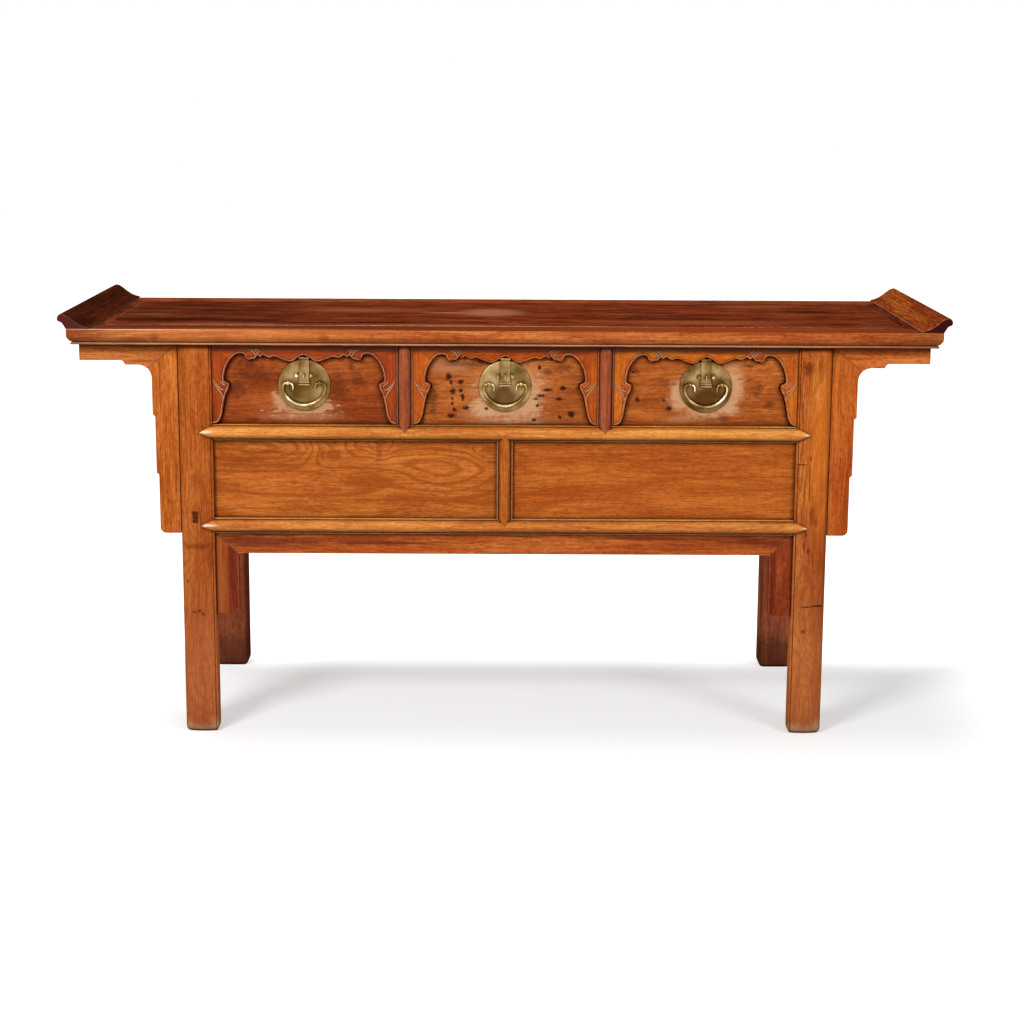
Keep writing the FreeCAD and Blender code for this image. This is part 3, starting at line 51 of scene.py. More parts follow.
def addNode(tree, kind, inputs=None, stops=None, **fields):
    # adds a node with its settings and links, and gives back its outputs
    node = tree.nodes.new("ShaderNode" + kind)
    for field, value in fields.items():
        setattr(node, field, value)
    if stops:
        ramp = node.color_ramp
        ramp.elements.remove(ramp.elements[1])
        ramp.elements[0].position, ramp.elements[0].color = stops[0]
        for position, colour in stops[1:]:
            ramp.elements.new(position).color = colour
    for key, value in (inputs or {}).items():
        if isinstance(value, bpy.types.NodeSocket):
            tree.links.new(value, node.inputs[key])
        else:
            node.inputs[key].default_value = value
    return node.outputs


def emptyTree(owner):
    owner.use_nodes = True
    owner.node_tree.nodes.clear()
    return owner.node_tree


def coat(tree, colour, value, low, high, share, hexCode, least=0.0):
    # one colour laid over another: its least share where the value is low, its full share where it is high
    amount = addNode(tree, "MapRange", {0: value, 1: low, 2: high, 3: least, 4: share})[0]
    return addNode(tree, "Mix", {0: amount, 6: colour, 7: linear(hexCode)}, data_type="RGBA")[2]


def spotDistance(tree, place, spot):
    # 0 in the middle of a spot and 1 at its rim: a spot holds its centre and three half sizes
    middle, half = [[v * mm for v in spot[i:i + 3]] for i in (0, 3)]
    away = addNode(tree, "VectorMath", {0: place, 1: middle}, operation="SUBTRACT")[0]
    scaled = addNode(tree, "VectorMath", {0: away, 1: half}, operation="DIVIDE")[0]
    return addNode(tree, "VectorMath", {0: scaled}, operation="LENGTH")["Value"]


# Waxed hardwood, planed and hand rubbed: a soft sheen over long fibres, thin dark veins and open pores that
# the wax half fills. Edges are paler, partly from wear and partly a painted highlight; corners are darker,
# partly old wax and partly painted shade.
grainTurns = {"X": (0, 0, 0), "Y": (0, 0, -math.pi / 2), "Z": (0, math.pi / 2, 0)}
seedSteps = (1.73, 0.61, 0.37)  # metres from one board's grain to the next one's
swaySizes = (2000 / 7, 125)  # fibres sway sideways by a few mm over this length and width
fibreSizes = {  # length and width in mm, noise detail
    "zone": (340, 50, 2),
    "blotch": (75, 24, 3),
    "field": (520, 80, 1),
    "vein": (190, 7, 3),
    "streak": (60, 2.6, 2),
    "mottle": (11, 8, 3),
    "fleck": (3.4, 2.8, 2),
    "pore": (11, 1.2, 0),  # real pores are 0.2 mm wide: drawn coarser so that they show
}
toneShares = {"zone": 0.40, "vein": 0.30, "streak": 0.34, "mottle": 0.18}
toneSpread = 0.105  # from the middle tone to the dark one and to the light one
lineBreak = 2.2  # how far the fibres break up the figure's lines
# dark brown of old wax, also laid on as painted shade in corners and under the top
oldWaxAndShade = "1c0905"
woodDefaults = {
    "wood": "waxedHardwood", "seed": 0, "lines": 70, "figure": 0.3, "sway": 12, "veins": 0.4,
    "veinHex": "4c1d0c", "pores": 0.4, "cornerWaxAndShade": 0.85, "reach": 8, "shade": 0.4, "shadeReach": 50,
    "rough": (0.36, 0.5), "gloss": 0.05, "edgeHex": "d49a68", "edgeShare": 0.45, "stains": (),
    "upHex": "4f2010", "upShare": 0.0, "endHex": "4c1d0c", "endShare": 0.55, "roofShade": 0.0, "roofFrom": 821.5,
    "roofTo": 829.0, "under": 0.0, "knots": (), "shares": {},
}


def waxedHardwood(name, look, wearAndHighlight=0.0):
    look = {**woodDefaults, **look}
    material = bpy.data.materials.new(f"{look['wood']}_{name}")
    tree = emptyTree(material)
    place = addNode(tree, "TexCoord")["Object"]
    along = addNode(tree, "Mapping", {
        "Vector": place, "Rotation": grainTurns[look["grain"]],
        "Location": [look["seed"] * step for step in seedSteps]})[0]
    length, width = [1 / (size * mm) for size in swaySizes]
    slow = addNode(tree, "Mapping", {"Vector": along, "Scale": (length, width, width)})[0]
    drift = addNode(tree, "TexNoise", {"Vector": slow, "Scale": 1, "Detail": 1})["Color"]
    centred = addNode(tree, "VectorMath", {0: drift, 1: (0.5, 0.5, 0.5)}, operation="SUBTRACT")[0]
    sway = look["sway"] * 2 * mm
    swayed = addNode(tree, "VectorMath", {0: centred, 1: (0, sway, sway), 2: along},
                     operation="MULTIPLY_ADD")[0]
    made = {}
    for word, (length, width, detail) in fibreSizes.items():
        stretched = addNode(tree, "Mapping", {
            "Vector": swayed, "Scale": (1 / (length * mm), 1 / (width * mm), 1 / (width * mm))})[0]
        made[word] = addNode(tree, "TexNoise", {
            "Vector": stretched, "Scale": 1, "Detail": detail, "Roughness": 0.55})["Fac"]
    shares = {**toneShares, **look["shares"]}
    total = 0.0
    for word, share in shares.items():
        total = addNode(tree, "Math", {0: made[word], 1: share, 2: total},
                        operation="MULTIPLY_ADD")[0]
    middle = 0.5 * sum(shares.values())
    dark, mid, light = look["tones"]
    colour = addNode(tree, "ValToRGB", {0: total}, stops=[
        (middle - toneSpread, linear(dark)), (middle, linear(mid)), (middle + toneSpread, linear(light))],
    )["Color"]
    # flat-sawn figure: contour lines of a slow field, which run round knots and are broken up by the fibres
    for spot in look["knots"]:
        swell = addNode(tree, "MapRange", {0: spotDistance(tree, place, spot), 3: spot[6], 4: 0.0},
                        interpolation_type="SMOOTHSTEP")[0]
        made["field"] = addNode(tree, "Math", {0: made["field"], 1: swell}, operation="ADD")[0]
    broken = addNode(tree, "Math", {0: made["streak"], 1: lineBreak}, operation="MULTIPLY")[0]
    phase = addNode(tree, "Math", {0: made["field"], 1: look["lines"], 2: broken},
                    operation="MULTIPLY_ADD")[0]
    contour = addNode(tree, "Math", {0: phase}, operation="SINE")[0]
    # end grain drinks more wax and is darker, faces that look up may hold an older, darker skin
    normal = addNode(tree, "NewGeometry")["Normal"]
    facing = addNode(tree, "SeparateXYZ", {0: normal})
    endOn = addNode(tree, "Math", {0: facing["XYZ".index(look["grain"])]}, operation="ABSOLUTE")[0]
    level = addNode(tree, "SeparateXYZ", {0: place})[2]
    layers = [  # what decides, where the colour starts and is full, its share
        (contour, 0.25, 1.0, look["figure"], dark),
        (made["vein"], 0.58, 0.72, look["veins"], look["veinHex"]),
        (made["pore"], 0.60, 0.70, look["pores"], look["veinHex"]),
        (endOn, 0.75, 0.95, look["endShare"], look["endHex"]),
        (facing[2], 0.94, 0.99, look["upShare"], look["upHex"]),
        (level, look["roofFrom"] * mm, look["roofTo"] * mm, look["roofShade"], oldWaxAndShade),  # painted shadow close under the top's overhang
        (facing[2], -0.15, -0.75, look["under"], look["veinHex"]),  # painted shade on faces that look down
    ]
    for layer in layers:
        colour = coat(tree, colour, *layer)
    # stains and worn places, each group one colour
    for stain in () if wearAndHighlight else look["stains"]:
        near = None
        for spot in stain["spots"]:
            distance = spotDistance(tree, place, spot)
            near = distance if near is None else addNode(
                tree, "Math", {0: near, 1: distance}, operation="MINIMUM")[0]
        fray, soft = stain.get("fray", 1.5), stain.get("soft", 0.3)
        for word in stain.get("by", ("mottle", "fleck")):
            near = addNode(tree, "Math", {0: made[word], 1: fray, 2: near},
                           operation="MULTIPLY_ADD")[0]
        colour = coat(tree, colour, near, 1 + fray + soft, 1 + fray - soft, stain["share"], stain["hex"])
    # rubbed edges made paler, partly wear and partly a painted highlight
    if wearAndHighlight:
        colour = coat(tree, colour, made["mottle"], 0.3, 0.6, wearAndHighlight, look["edgeHex"], least=wearAndHighlight * 0.4)
    # dark colour painted into corners and crevices, partly old wax and partly painted shade, and a wider,
    # softer painted shade round them
    corners = ((look["reach"], 0.92, 0.4, look["cornerWaxAndShade"]), (look["shadeReach"], 0.95, 0.35, look["shade"]))
    for reach, clean, full, share in corners:
        corner = addNode(tree, "AmbientOcclusion", {"Distance": reach * mm}, samples=6)["AO"]
        colour = coat(tree, colour, corner, clean, full, share, oldWaxAndShade)
    low, high = look["rough"]
    roughness = addNode(tree, "MapRange", {0: made["vein"], 1: 0.35, 2: 0.65, 3: low, 4: high})[0]
    height = addNode(tree, "Math", {0: made["pore"], 1: -0.7, 2: made["streak"]},
                     operation="MULTIPLY_ADD")[0]
    bump = addNode(tree, "Bump", {"Height": height, "Strength": 0.2, "Distance": 1 * mm})[0]
    shader = addNode(tree, "BsdfPrincipled", {
        "Base Color": colour, "Roughness": roughness, "Normal": bump, "IOR": 1.5,
        "Specular IOR Level": look["gloss"]})[0]
    addNode(tree, "OutputMaterial", {"Surface": shader})
    return material


# the second material goes on rubbed edges: paler, partly wear and partly a painted highlight
def woodPair(name, look):
    share = {**woodDefaults, **look}["edgeShare"]
    return [waxedHardwood(name, look), waxedHardwood(name + "Edge", look, wearAndHighlight=share)]


def softEdges(piece, width, cad=False):
    if cad:  # the frame's meshes come in split triangles: join them before the edges are rounded
        piece.modifiers.new("joined", "WELD").merge_threshold = 2e-5
        flat = piece.modifiers.new("flat", "DECIMATE")
        flat.decimate_type = "DISSOLVE"
        flat.angle_limit = math.radians(1)
    edge = piece.modifiers.new("rubbed", "BEVEL")
    edge.width = width * mm
    edge.segments = 2
    edge.limit_method = "ANGLE"
    edge.angle_limit = math.radians(32)
    edge.harden_normals = True
    edge.material = 1 if len(piece.data.materials) > 1 else -1


def dress(nodeNames, materials, width):
    for nodeName in nodeNames:
        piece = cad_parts[nodeName]
        piece.data.materials.clear()
        for material in materials:
            piece.data.materials.append(material)
        if width:
            softEdges(piece, width, cad=True)


def meshFrom(name, work, angle=35):
    bmesh.ops.recalc_face_normals(work, faces=work.faces)
    mesh = bpy.data.meshes.new(name)
    work.to_mesh(mesh)
    work.free()
    for face in mesh.polygons:
        face.use_smooth = True
    mesh.set_sharp_from_angle(angle=math.radians(angle))
    return mesh


def loft(work, rings, closed=False, wearAndHighlight=(), slot=0):
    rows = [[work.verts.new(Vector(p) * mm) for p in ring] for ring in rings]
    count = len(rings[0])
    for low, high in zip(rows, rows[1:] + rows[:1] if closed else rows[1:]):
        for i in range(count):
            face = work.faces.new((low[i], low[(i + 1) % count], high[(i + 1) % count], high[i]))
            face.material_index = 1 if i in wearAndHighlight else slot
    if not closed:
        work.faces.new(rows[0])
        work.faces.new(rows[-1])


def turns(sides):
    return [2 * math.pi * k / sides for k in range(sides)]


def headings(points):
    # which way a line runs at each of its points
    last = len(points) - 1
    return [(points[min(i + 1, last)] - points[max(i - 1, 0)]).normalized() for i in range(last + 1)]


def mirrored(points):
    return [(-x, z) for x, z in points]


def tube(work, path, radii, sides=12, slot=0):
    points = [Vector(p) for p in path]
    ways = headings(points)
    aside = ways[0].orthogonal().normalized()
    rings = []
    for point, way, radius in zip(points, ways, radii):
        aside = (aside - way * aside.dot(way)).normalized()
        other = way.cross(aside)
        rings.append([point + (aside * math.cos(a) + other * math.sin(a)) * radius for a in turns(sides)])
    loft(work, rings, slot=slot)


def turned(work, centre, profile, sides=48):
    # a round piece about an axis that runs front to back: profile holds radius and depth
    x, z = centre
    loft(work, [[(x + r * math.cos(a), y, z + r * math.sin(a)) for a in turns(sides)] for r, y in profile])


def board(work, outline, depth):
    loft(work, [[(x, y, z) for x, z in outline] for y in depth])


def arc(centre, radius, first, last, steps=8):
    return [
        (centre[0] + radius * math.cos(math.radians(a)), centre[1] + radius * math.sin(math.radians(a)))
        for a in (first + (last - first) * k / steps for k in range(steps + 1))
    ]


def smoothLine(points, steps=6):
    # a curve through the points
    line = []
    for i in range(len(points) - 1):
        p0, p1 = Vector(points[max(i - 1, 0)]), Vector(points[i])
        p2, p3 = Vector(points[i + 1]), Vector(points[min(i + 2, len(points) - 1)])
        for k in range(steps):
            t = k / steps
            line.append(tuple(
                0.5 * (2 * p1 + (p2 - p0) * t + (2 * p0 - 5 * p1 + 4 * p2 - p3) * t * t
                       + (3 * p1 - p0 - 3 * p2 + p3) * t ** 3)))
    return line + [tuple(points[-1])]


def addPiece(name, work, body, materials, replaced, angle=35, soft=0):
    piece = bpy.data.objects.new(name, meshFrom(name, work, angle))
    scene.collection.objects.link(piece)
    for material in materials:
        piece.data.materials.append(material)
    if soft:
        softEdges(piece, soft)
    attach(piece, body)
    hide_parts(*replaced)


# Pieces of the case that keep their solid: what they are cut from, how far their edges are rubbed round
topSurface, topFront, topEnd = 866.0, -272.5, 897.0
panelFace = -240.5
knotDepth, stainDepth = 40, 12  # how far knots and deep stains reach into the wood
topLook = {"tones": ("361006", "54210f", "672e18"), "veinHex": "260b05", "veins": 0.5, "rough": (0.4, 0.55),
           "gloss": 0.0, "edgeHex": "b58060", "endHex": "260b05", "shares": {"zone": 0.26, "blotch": 0.42}}
frameLook = {"tones": ("954518", "b35d25", "c67635")}


def onFace(depth, spots, thick=9):
    # spots on an upright face: across, height, two half sizes, and a knot's strength after them
    return [(x, depth, z, rx, thick, rz, *strength) for x, z, rx, rz, *strength in spots]


def onTop(*spots):
    # spots on the top's surface: along, across, two half sizes
    return [(x, y, topSurface, rx, ry, 9) for x, y, rx, ry in spots]


beadWearAndHighlight = {"hex": "d4a486", "share": 0.8, "fray": 0.3, "soft": 0.3, "spots": [
    (0, -266, 837.0, 3000, 14, 1.3)]}  # the bead under the front edge is paler: partly rubbed pale, partly a painted highlight
brinkWearAndHighlight = {"hex": "f0cfba", "share": 0.75, "fray": 0.9, "soft": 0.5, "by": ("vein", "mottle"), "spots": [
    (-770, -273, topSurface, 190, 1.8, 1.1)]}  # the brink is paler at its left end: partly worn pale, partly a painted highlight
sunned = {"hex": "8c3c18", "share": 0.45, "fray": 0.8, "soft": 0.8, "by": ("vein", "blotch"), "spots": [
    (480, -236, topSurface, 420, 60, 3)]}  # the top's front member is lighter to the right
endSoil = {"hex": "5a1d0d", "share": 0.5, "fray": 0.5, "soft": 0.9, "by": ("vein",), "spots": onFace(
    topFront, [(x, 850, 90, 30) for x in (-topEnd, topEnd)], 14)}  # where hands take hold of the top
fasciaGlow = {"hex": "d28448", "share": 0.27, "fray": 0.8, "soft": 0.8, "by": ("vein",), "spots": onFace(
    topFront, [(-480, 852, 170, 30)], 14)}  # the front edge is paler to the left
edgeMarks = {"hex": "7a3212", "share": 0.5, "fray": 1.2, "soft": 0.5, "spots": onFace(
    topFront, [(-718, 848, 9, 8), (-372, 850, 9, 9), (-100, 852, 9, 7)])}  # small dark marks
topStains = (
    {"hex": "2a120b", "share": 0.52, "fray": 1.2, "soft": 0.9, "by": ("zone", "vein"), "spots": onTop(
        (-690, 0, 330, 400))},
    {"hex": "8a4a28", "share": 0.45, "fray": 1.4, "soft": 0.6, "by": ("vein", "blotch"), "spots": onTop(
        (-590, -190, 130, 24), (-330, 60, 100, 34), (-160, -190, 160, 20), (420, -120, 170, 28),
        (560, 150, 90, 20))},
    {"hex": "dcb8a0", "share": 0.42, "fray": 2.4, "soft": 0.5, "by": ("vein", "mottle"), "spots": onTop(
        (-80, -198, 640, 4.5))},  # wax left white in the joint
    {"hex": "94634a", "share": 0.45, "fray": 0.7, "soft": 0.35, "by": ("mottle", "blotch"), "spots": onTop(
        (-29, 30, 64, 58), (-120, 24, 54, 12), (-775, -26, 60, 5))},
    {"hex": "1d0906", "share": 0.75, "fray": 1.6, "soft": 0.6, "by": ("vein", "mottle"), "spots": onTop(
        (-700, -110, 110, 34), (-560, -120, 90, 16), (-610, 40, 60, 12), (-260, -150, 140, 10),
        (330, -60, 120, 12), (700, 60, 60, 16))},
)
panelStreaks = {
    "hex": "7a3512", "share": 0.5, "fray": 1.4, "soft": 0.6, "by": ("streak", "mottle"),
    "spots": onFace(panelFace, [(-540, 587, 22, 6), (-380, 604, 5, 15), (-262, 602, 6, 16),
                                (-558, 536, 10, 3), (-500, 604, 40, 3)])}
caseWood = {
    "topFrontRail": {
        "nodes": ["top_rail_front"], "grain": "X", "seed": 1, "soft": 1.6,
        "tones": ("a04620", "c26a34", "d4874c"), "edgeHex": "c8824a", "gloss": 0.0, "upShare": 0.95,
        "upHex": "481b0d", "figure": 0.6, "lines": 48,
        "stains": (beadWearAndHighlight, sunned, fasciaGlow, endSoil, brinkWearAndHighlight, edgeMarks),
        "knots": onFace(topFront, [(-305, 846, 56, 16, 0.5), (-215, 854, 50, 15, 0.45)], knotDepth)},
    "topBackRail": {
        "nodes": ["top_rail_back"], "grain": "X", "seed": 2, "soft": 1.6, **topLook,
        "tones": ("361006", "84401f", "672e18")},
    "topEnds": {
        "nodes": ["top_end_left", "top_end_right"], "grain": "Y", "seed": 3, "soft": 1.4, **topLook,
        "stains": (beadWearAndHighlight,)},
    "topBoards": {
        "nodes": ["top_boards"], "grain": "X", "seed": 4, "soft": 1.0, **topLook,
        "tones": ("3c140a", "5e2610", "74351a"), "edgeHex": "d0a88c", "edgeShare": 0.9, "cornerWaxAndShade": 0.15,
        "stains": topStains},
    "sideRails": {
        "nodes": ["side_rails_left", "side_rails_right"], "grain": "Y", "seed": 10, "soft": 1.2, **frameLook},
    "backRails": {
        "nodes": ["upper_rail_back", "drawer_rail_back", "base_rail_back"], "grain": "X", "seed": 11,
        "soft": 1.2, **frameLook},
    "backMuntins": {"nodes": ["back_muntins"], "grain": "Z", "seed": 12, "soft": 1.2, **frameLook},
    "panelLeft": {
        "nodes": ["front_panel_left"], "grain": "X", "seed": 13, "soft": 0,
        "tones": ("9a4a17", "ba6325", "cb7b35"), "figure": 0.8, "lines": 40, "sway": 20,
        "stains": (panelStreaks,), "knots": onFace(panelFace, [
            (-520, 612, 190, 62, 0.5), (-366, 632, 70, 74, -0.42), (-258, 640, 46, 66, 0.34),
            (-130, 560, 150, 70, -0.25), (-34, 612, 50, 40, 0.25)], knotDepth)},
    "panelRight": {
        "nodes": ["front_panel_right"], "grain": "X", "seed": 14, "soft": 0,
        "tones": ("9c4815", "b55c20", "c6722c"), "figure": 0.5, "lines": 46,
        "knots": onFace(panelFace, [(120, 600, 160, 70, 0.3)], knotDepth)},
    "backPanels": {
        "nodes": ["back_panels"], "grain": "X", "seed": 15, "soft": 0,
        "tones": ("84401a", "a05426", "b26c34")},
    "sidePanels": {
        "nodes": ["side_panels_left", "side_panels_right"], "grain": "Y", "seed": 16, "soft": 0,
        "tones": ("90461c", "ac5c28", "bf7638")},
}
for woodName, look in caseWood.items():
    dress(look["nodes"], woodPair(woodName, look), look["soft"])
print("case dressed:", len(caseWood), "woods")

# Legs: swelled face, round outer edge, a bead along the inner edge, feet worn round
leg = {"inner": 606.0, "outer": 676.0, "face": -253.5, "back": -193.5, "round": 11.0, "crown": 2.5,
       "bead": 5.0, "beadRoot": 5.0, "beadRise": 2.2, "top": 833.0, "soft": 1.4,
       "innerRound": {1: 26.0, -1: 9.0}, "swell": 0.8, "steps": (6, 8),
       "gloss": 0.0}  # innerRound is 1 for the front legs and -1 for the back ones
legMiddle = (leg["inner"] + leg["outer"]) / 2
footRings = ((0.0, 6.5), (0.8, 4.6), (2.2, 3.0), (4.4, 1.5), (7.5, 0.5), (12.0, 0.0))  # height, drawn in


def onLeg(side, *spots):
    # spots on a front leg's face: across from its inner edge, then as on any face
    return onFace(leg["face"], [(side * (leg["inner"] + u), *rest) for u, *rest in spots])


def roundLeg(side, *spots):
    # spots that go round a front leg: across from its inner edge, depth, height, three half sizes
    return [(side * (leg["inner"] + u), *rest) for u, *rest in spots]


def legKnots(side, *spots):
    return onFace(leg["face"], [(side * x, *rest) for x, *rest in spots], knotDepth)


footWear = {"hex": "c99a70", "share": 0.75, "fray": 0.9, "soft": 0.35}
shinWear = {"share": 0.4, "fray": 0.3, "soft": 0.3,
            "by": ("vein",)}  # the lower legs have lost their golden wax
shin, calf = (35, -224, 0, 400, 400, 240), (35, -224, 345, 400, 400, 105)
leftLegStains = (
    {**shinWear, "hex": "ac6041", "spots": roundLeg(-1, shin)},
    {**shinWear, "hex": "8f4026", "share": 0.28, "spots": roundLeg(-1, calf)},
    {"hex": "4a1a10", "share": 0.9, "fray": 0.4, "soft": 0.2, "spots": onLeg(
        -1, *[(u, z, 5, 5) for u in (37, 41) for z in (460, 468, 476)])},  # a plugged mortise
    {"hex": "54200f", "share": 0.7, "spots": onLeg(
        -1, (46, 263, 4, 3), (35, 266, 3.4, 3.2), (27, 259, 4, 4), (60, 330, 3, 3))},
    {"hex": "5d2712", "share": 0.5, "fray": 1.2, "soft": 0.5,
     "spots": onLeg(-1, (36, 405, 36, 5), (8, 380, 4, 30))},
    {**footWear, "spots": roundLeg(
        -1, (35, -224, 0, 60, 50, 17), (62, -250, 0, 14, 20, 22), (6, -250, 0, 14, 20, 28))},
)
rightLegStains = (
    {**shinWear, "hex": "b86c41", "spots": roundLeg(1, shin)},
    {**shinWear, "hex": "8f4026", "share": 0.28, "spots": roundLeg(1, calf)},
    {"hex": "642a10", "share": 0.8, "fray": 1.2, "soft": 0.5,
     "spots": onLeg(1, (20, 788, 10, 14), (44, 792, 4, 22))},
    {"hex": "3c140a", "share": 0.85, "fray": 0.6, "soft": 0.3, "spots": onLeg(
        1, (29, 552, 1.4, 44), (30, 600, 2.4, 6), (58, 282, 17, 2.2), (30, 280, 11, 1.4),
        (12, 586, 12, 1.4))},
    {"hex": "54210f", "share": 0.7, "spots": onLeg(
        1, (36, 480, 5, 20), (44, 462, 4, 9), (24, 436, 2.5, 9), (22, 412, 3, 12), (30, 402, 3, 7),
        (26, 226, 4, 4))},
    {"hex": "e27c24", "share": 0.42, "fray": 1.2, "soft": 0.8,
     "spots": onLeg(1, (48, 630, 17, 150), (25, 520, 3, 4))},
    {**footWear, "spots": roundLeg(
        1, (35, -224, 0, 60, 50, 18), (62, -250, 0, 14, 20, 28), (14, -250, 0, 16, 20, 22))},
)
backLegLook = {"stains": ({"hex": "4a281f", "share": 0.55, "fray": 0.3, "soft": 0.15, "spots": [
    (side * legMiddle, 224, 0, 90, 90, 78) for side in (-1, 1)]},)}  # darker back feet
legLooks = {
    "legPiece_front_left": {
        "node": "leg_front_left", "side": -1, "end": 1, "seed": 7, **frameLook, "roofShade": 0.6, "figure": 0.5,
        "stains": leftLegStains, "knots": legKnots(
            -1, (636, 120, 40, 150, 0.3), (650, 390, 40, 70, -0.25), (640, 720, 30, 90, 0.2))},
    "legPiece_front_right": {
        "node": "leg_front_right", "side": 1, "end": 1, "seed": 8, "tones": ("964518", "bb6429", "d28240"),
        "roofShade": 0.9, "figure": 0.5, "stains": rightLegStains, "knots": legKnots(
            1, (645, 60, 34, 130, 0.35), (640, 230, 40, 90, -0.25), (626, 790, 26, 34, 0.3))},
    "legPiece_back_left": {
        "node": "leg_back_left", "side": -1, "end": -1, "seed": 9, **backLegLook,
        "tones": ("743121", "904a2e", "a35b3c")},
    "legPiece_back_right": {
        "node": "leg_back_right", "side": 1, "end": -1, "seed": 9.5, **backLegLook,
        "tones": ("94462f", "b56242", "ca7853")},
}


def legSection(end):
    corner = leg["innerRound"][end]
    shoulder = leg["face"] + leg["crown"]
    root = leg["face"] + leg["beadRoot"]
    beadMiddle = leg["inner"] + leg["bead"] / 2
    left, right = leg["inner"] + leg["bead"], leg["outer"] - leg["round"]
    few, many = leg["steps"]
    section = arc((leg["inner"] + corner, leg["back"] - corner), corner, 90, 180, few)
    section += [(beadMiddle - leg["bead"] / 2 * math.cos(a), root - leg["beadRise"] * math.sin(a))
                for a in (math.pi * k / few for k in range(few + 1))]
    section += [(left + (right - left) * t, shoulder - leg["crown"] * math.sin(math.pi * t) ** leg["swell"])
                for t in (k / many for k in range(many))]
    section += arc((right, shoulder + leg["round"]), leg["round"], -90, 0, few)
    return section + [(leg["outer"], leg["back"])]


for legName, look in legLooks.items():
    sign, end = look["side"], look["end"]
    middle = (legMiddle, (leg["face"] + leg["back"]) / 2)
    half = ((leg["outer"] - leg["inner"]) / 2, (leg["back"] - leg["face"]) / 2)
    rings = []
    for height, drawn in footRings + ((leg["top"], 0.0),):
        rings.append([
            (sign * (middle[0] + (x - middle[0]) * (1 - drawn / half[0])),
             end * (middle[1] + (y - middle[1]) * (1 - drawn / half[1])), height)
            for x, y in legSection(end)])
    work = bmesh.new()
    loft(work, rings)
    woods = woodPair(legName + "Wood", {**look, "grain": "Z", "gloss": leg["gloss"]})
    addPiece(legName, work, "case", woods, [look["node"]], angle=40, soft=leg["soft"])

# End flanges: a small toe, hollow inner face, round lip, a notch under the lip
flange = {"reach": 272.3, "soft": 1.6, "section": (
    (852, 865.8), (852.2, 868.4), (853.8, 869.6), (858, 870.6), (864.9, 872.8), (870, 875), (877.8, 880),
    (883, 883.9), (888.2, 888), (893, 891.7), (898.5, 895.1), (903, 896.6), (906.5, 896.8), (910, 895.5),
    (912.9, 892.6), (914.4, 888.6), (914.6, 884.8), (912.6, 881.6), (909, 880.4), (905.4, 879), (903, 875.4),
    (900.4, 871), (897, 865.8))}
flangeLooks = {
    # the left flange is painted much darker than the right: painted shade on its hollow face, turned away
    # from the key lamp
    "left": {"seed": 5, "tones": ("220c06", "361509", "481c0d"), "endHex": "572621", "endShare": 0.8,
             "edgeShare": 0.12},
    "right": {"seed": 6, "tones": ("4c1b0a", "783312", "94501f"), "figure": 0.5, "lines": 110,
              "endHex": "35110f", "endShare": 0.95, "edgeShare": 0.35},
}
for side, look in flangeLooks.items():
    sign = -1 if side == "left" else 1
    work = bmesh.new()
    board(work, [(sign * x, z) for x, z in flange["section"]], (-flange["reach"], flange["reach"]))
    woods = woodPair(f"flangeWood{side}", {**topLook, "shares": {}, **look, "grain": "Y"})
    addPiece(f"flangePiece_{side}", work, "case", woods, [f"flange_{side}"], angle=40,
             soft=flange["soft"])
print("legs and flanges built")

# Plain sawn softwood where no one looks: pale, open, with no wax
innerLook = {"wood": "sawnSoftwood", "tones": ("8a6236", "b08550", "c9a470"), "veins": 0.25,
             "veinHex": "6b4420", "rough": (0.6, 0.8), "cornerWaxAndShade": 0.5, "edgeHex": "d0ae7e", "soft": 0.8}
drawerWords = {"left": -1, "middle": 0, "right": 1}
innerWood = {
    "innerLengthways": ("X", ["floor_boards", *[f"drawer_{w}_bottom" for w in drawerWords]]),
    "innerCrossways": ("Y", ["top_battens", "floor_bearer", "drawer_runners",
                             *[f"drawer_{w}_box" for w in drawerWords]]),
}
for woodName, (grain, nodeNames) in innerWood.items():
    woods = woodPair(woodName, {**innerLook, "grain": grain, "seed": 20 + len(nodeNames)})
    dress(nodeNames, woods, innerLook["soft"])

# Half-round rails and uprights with bullet ends
drawerPitch = 415.3333
moulding = {"face": -259.0, "lipFace": -247.6, "back": -213.5, "lip": 4.5, "tipFace": -256.4,
            "tipEdge": -252.2, "tipBack": -243.0, "tipHalf": 0.25, "steps": 11, "quirk": 1.6,
            "lipFlat": (0.15, 0.65), "clear": 1.1, "reach": 0.995, "fullness": 0.9, "wearDepth": -257.0}
tipRings = (0.02, 0.08, 0.16, 0.28, 0.4, 0.55, 0.7, 0.85, 1.0)


def paintedTipHighlights(*spots):
    # painted highlight on the rails' tips: spots as on any face
    return ({"hex": "f4dfc4", "share": 0.7, "fray": 0.6, "soft": 0.4,
             "spots": onFace(moulding["wearDepth"], spots, stainDepth)},)


# under: painted shade on the rails' downward faces, so their lower half reads darker
railLook = {"grain": "X", "gloss": 0.12, "under": 0.6, "edgeHex": "e8b57c"}
barLooks = {
    "rail": {**railLook, "seed": 31, "tones": ("b86625", "d8883a", "eaa151"),
             "stains": paintedTipHighlights((-621, 650.5, 15, 2.4), (628, 649, 6, 2))},
    "baseRail": {**railLook, "seed": 32, "tones": ("ab5a21", "cb7933", "df9548"),
                 "stains": paintedTipHighlights((-619, 452, 18, 2.6), (629, 451, 5, 2))},
    "divider": {"grain": "Z", "seed": 33, "gloss": 0.1, "roofShade": 0.9, "tones": ("803b20", "9d4e2d", "b1623c"),
                "edgeHex": "c08a6c", "edgeShare": 0.3},
    "muntin": {"grain": "Z", "seed": 34, "gloss": 0.1, "tones": ("93420f", "ad5818", "c06f28")},
}
overRail = {"face": -258.0, "tipFace": -260.2, "tipEdge": -259.3}  # uprights whose points lie on the rails
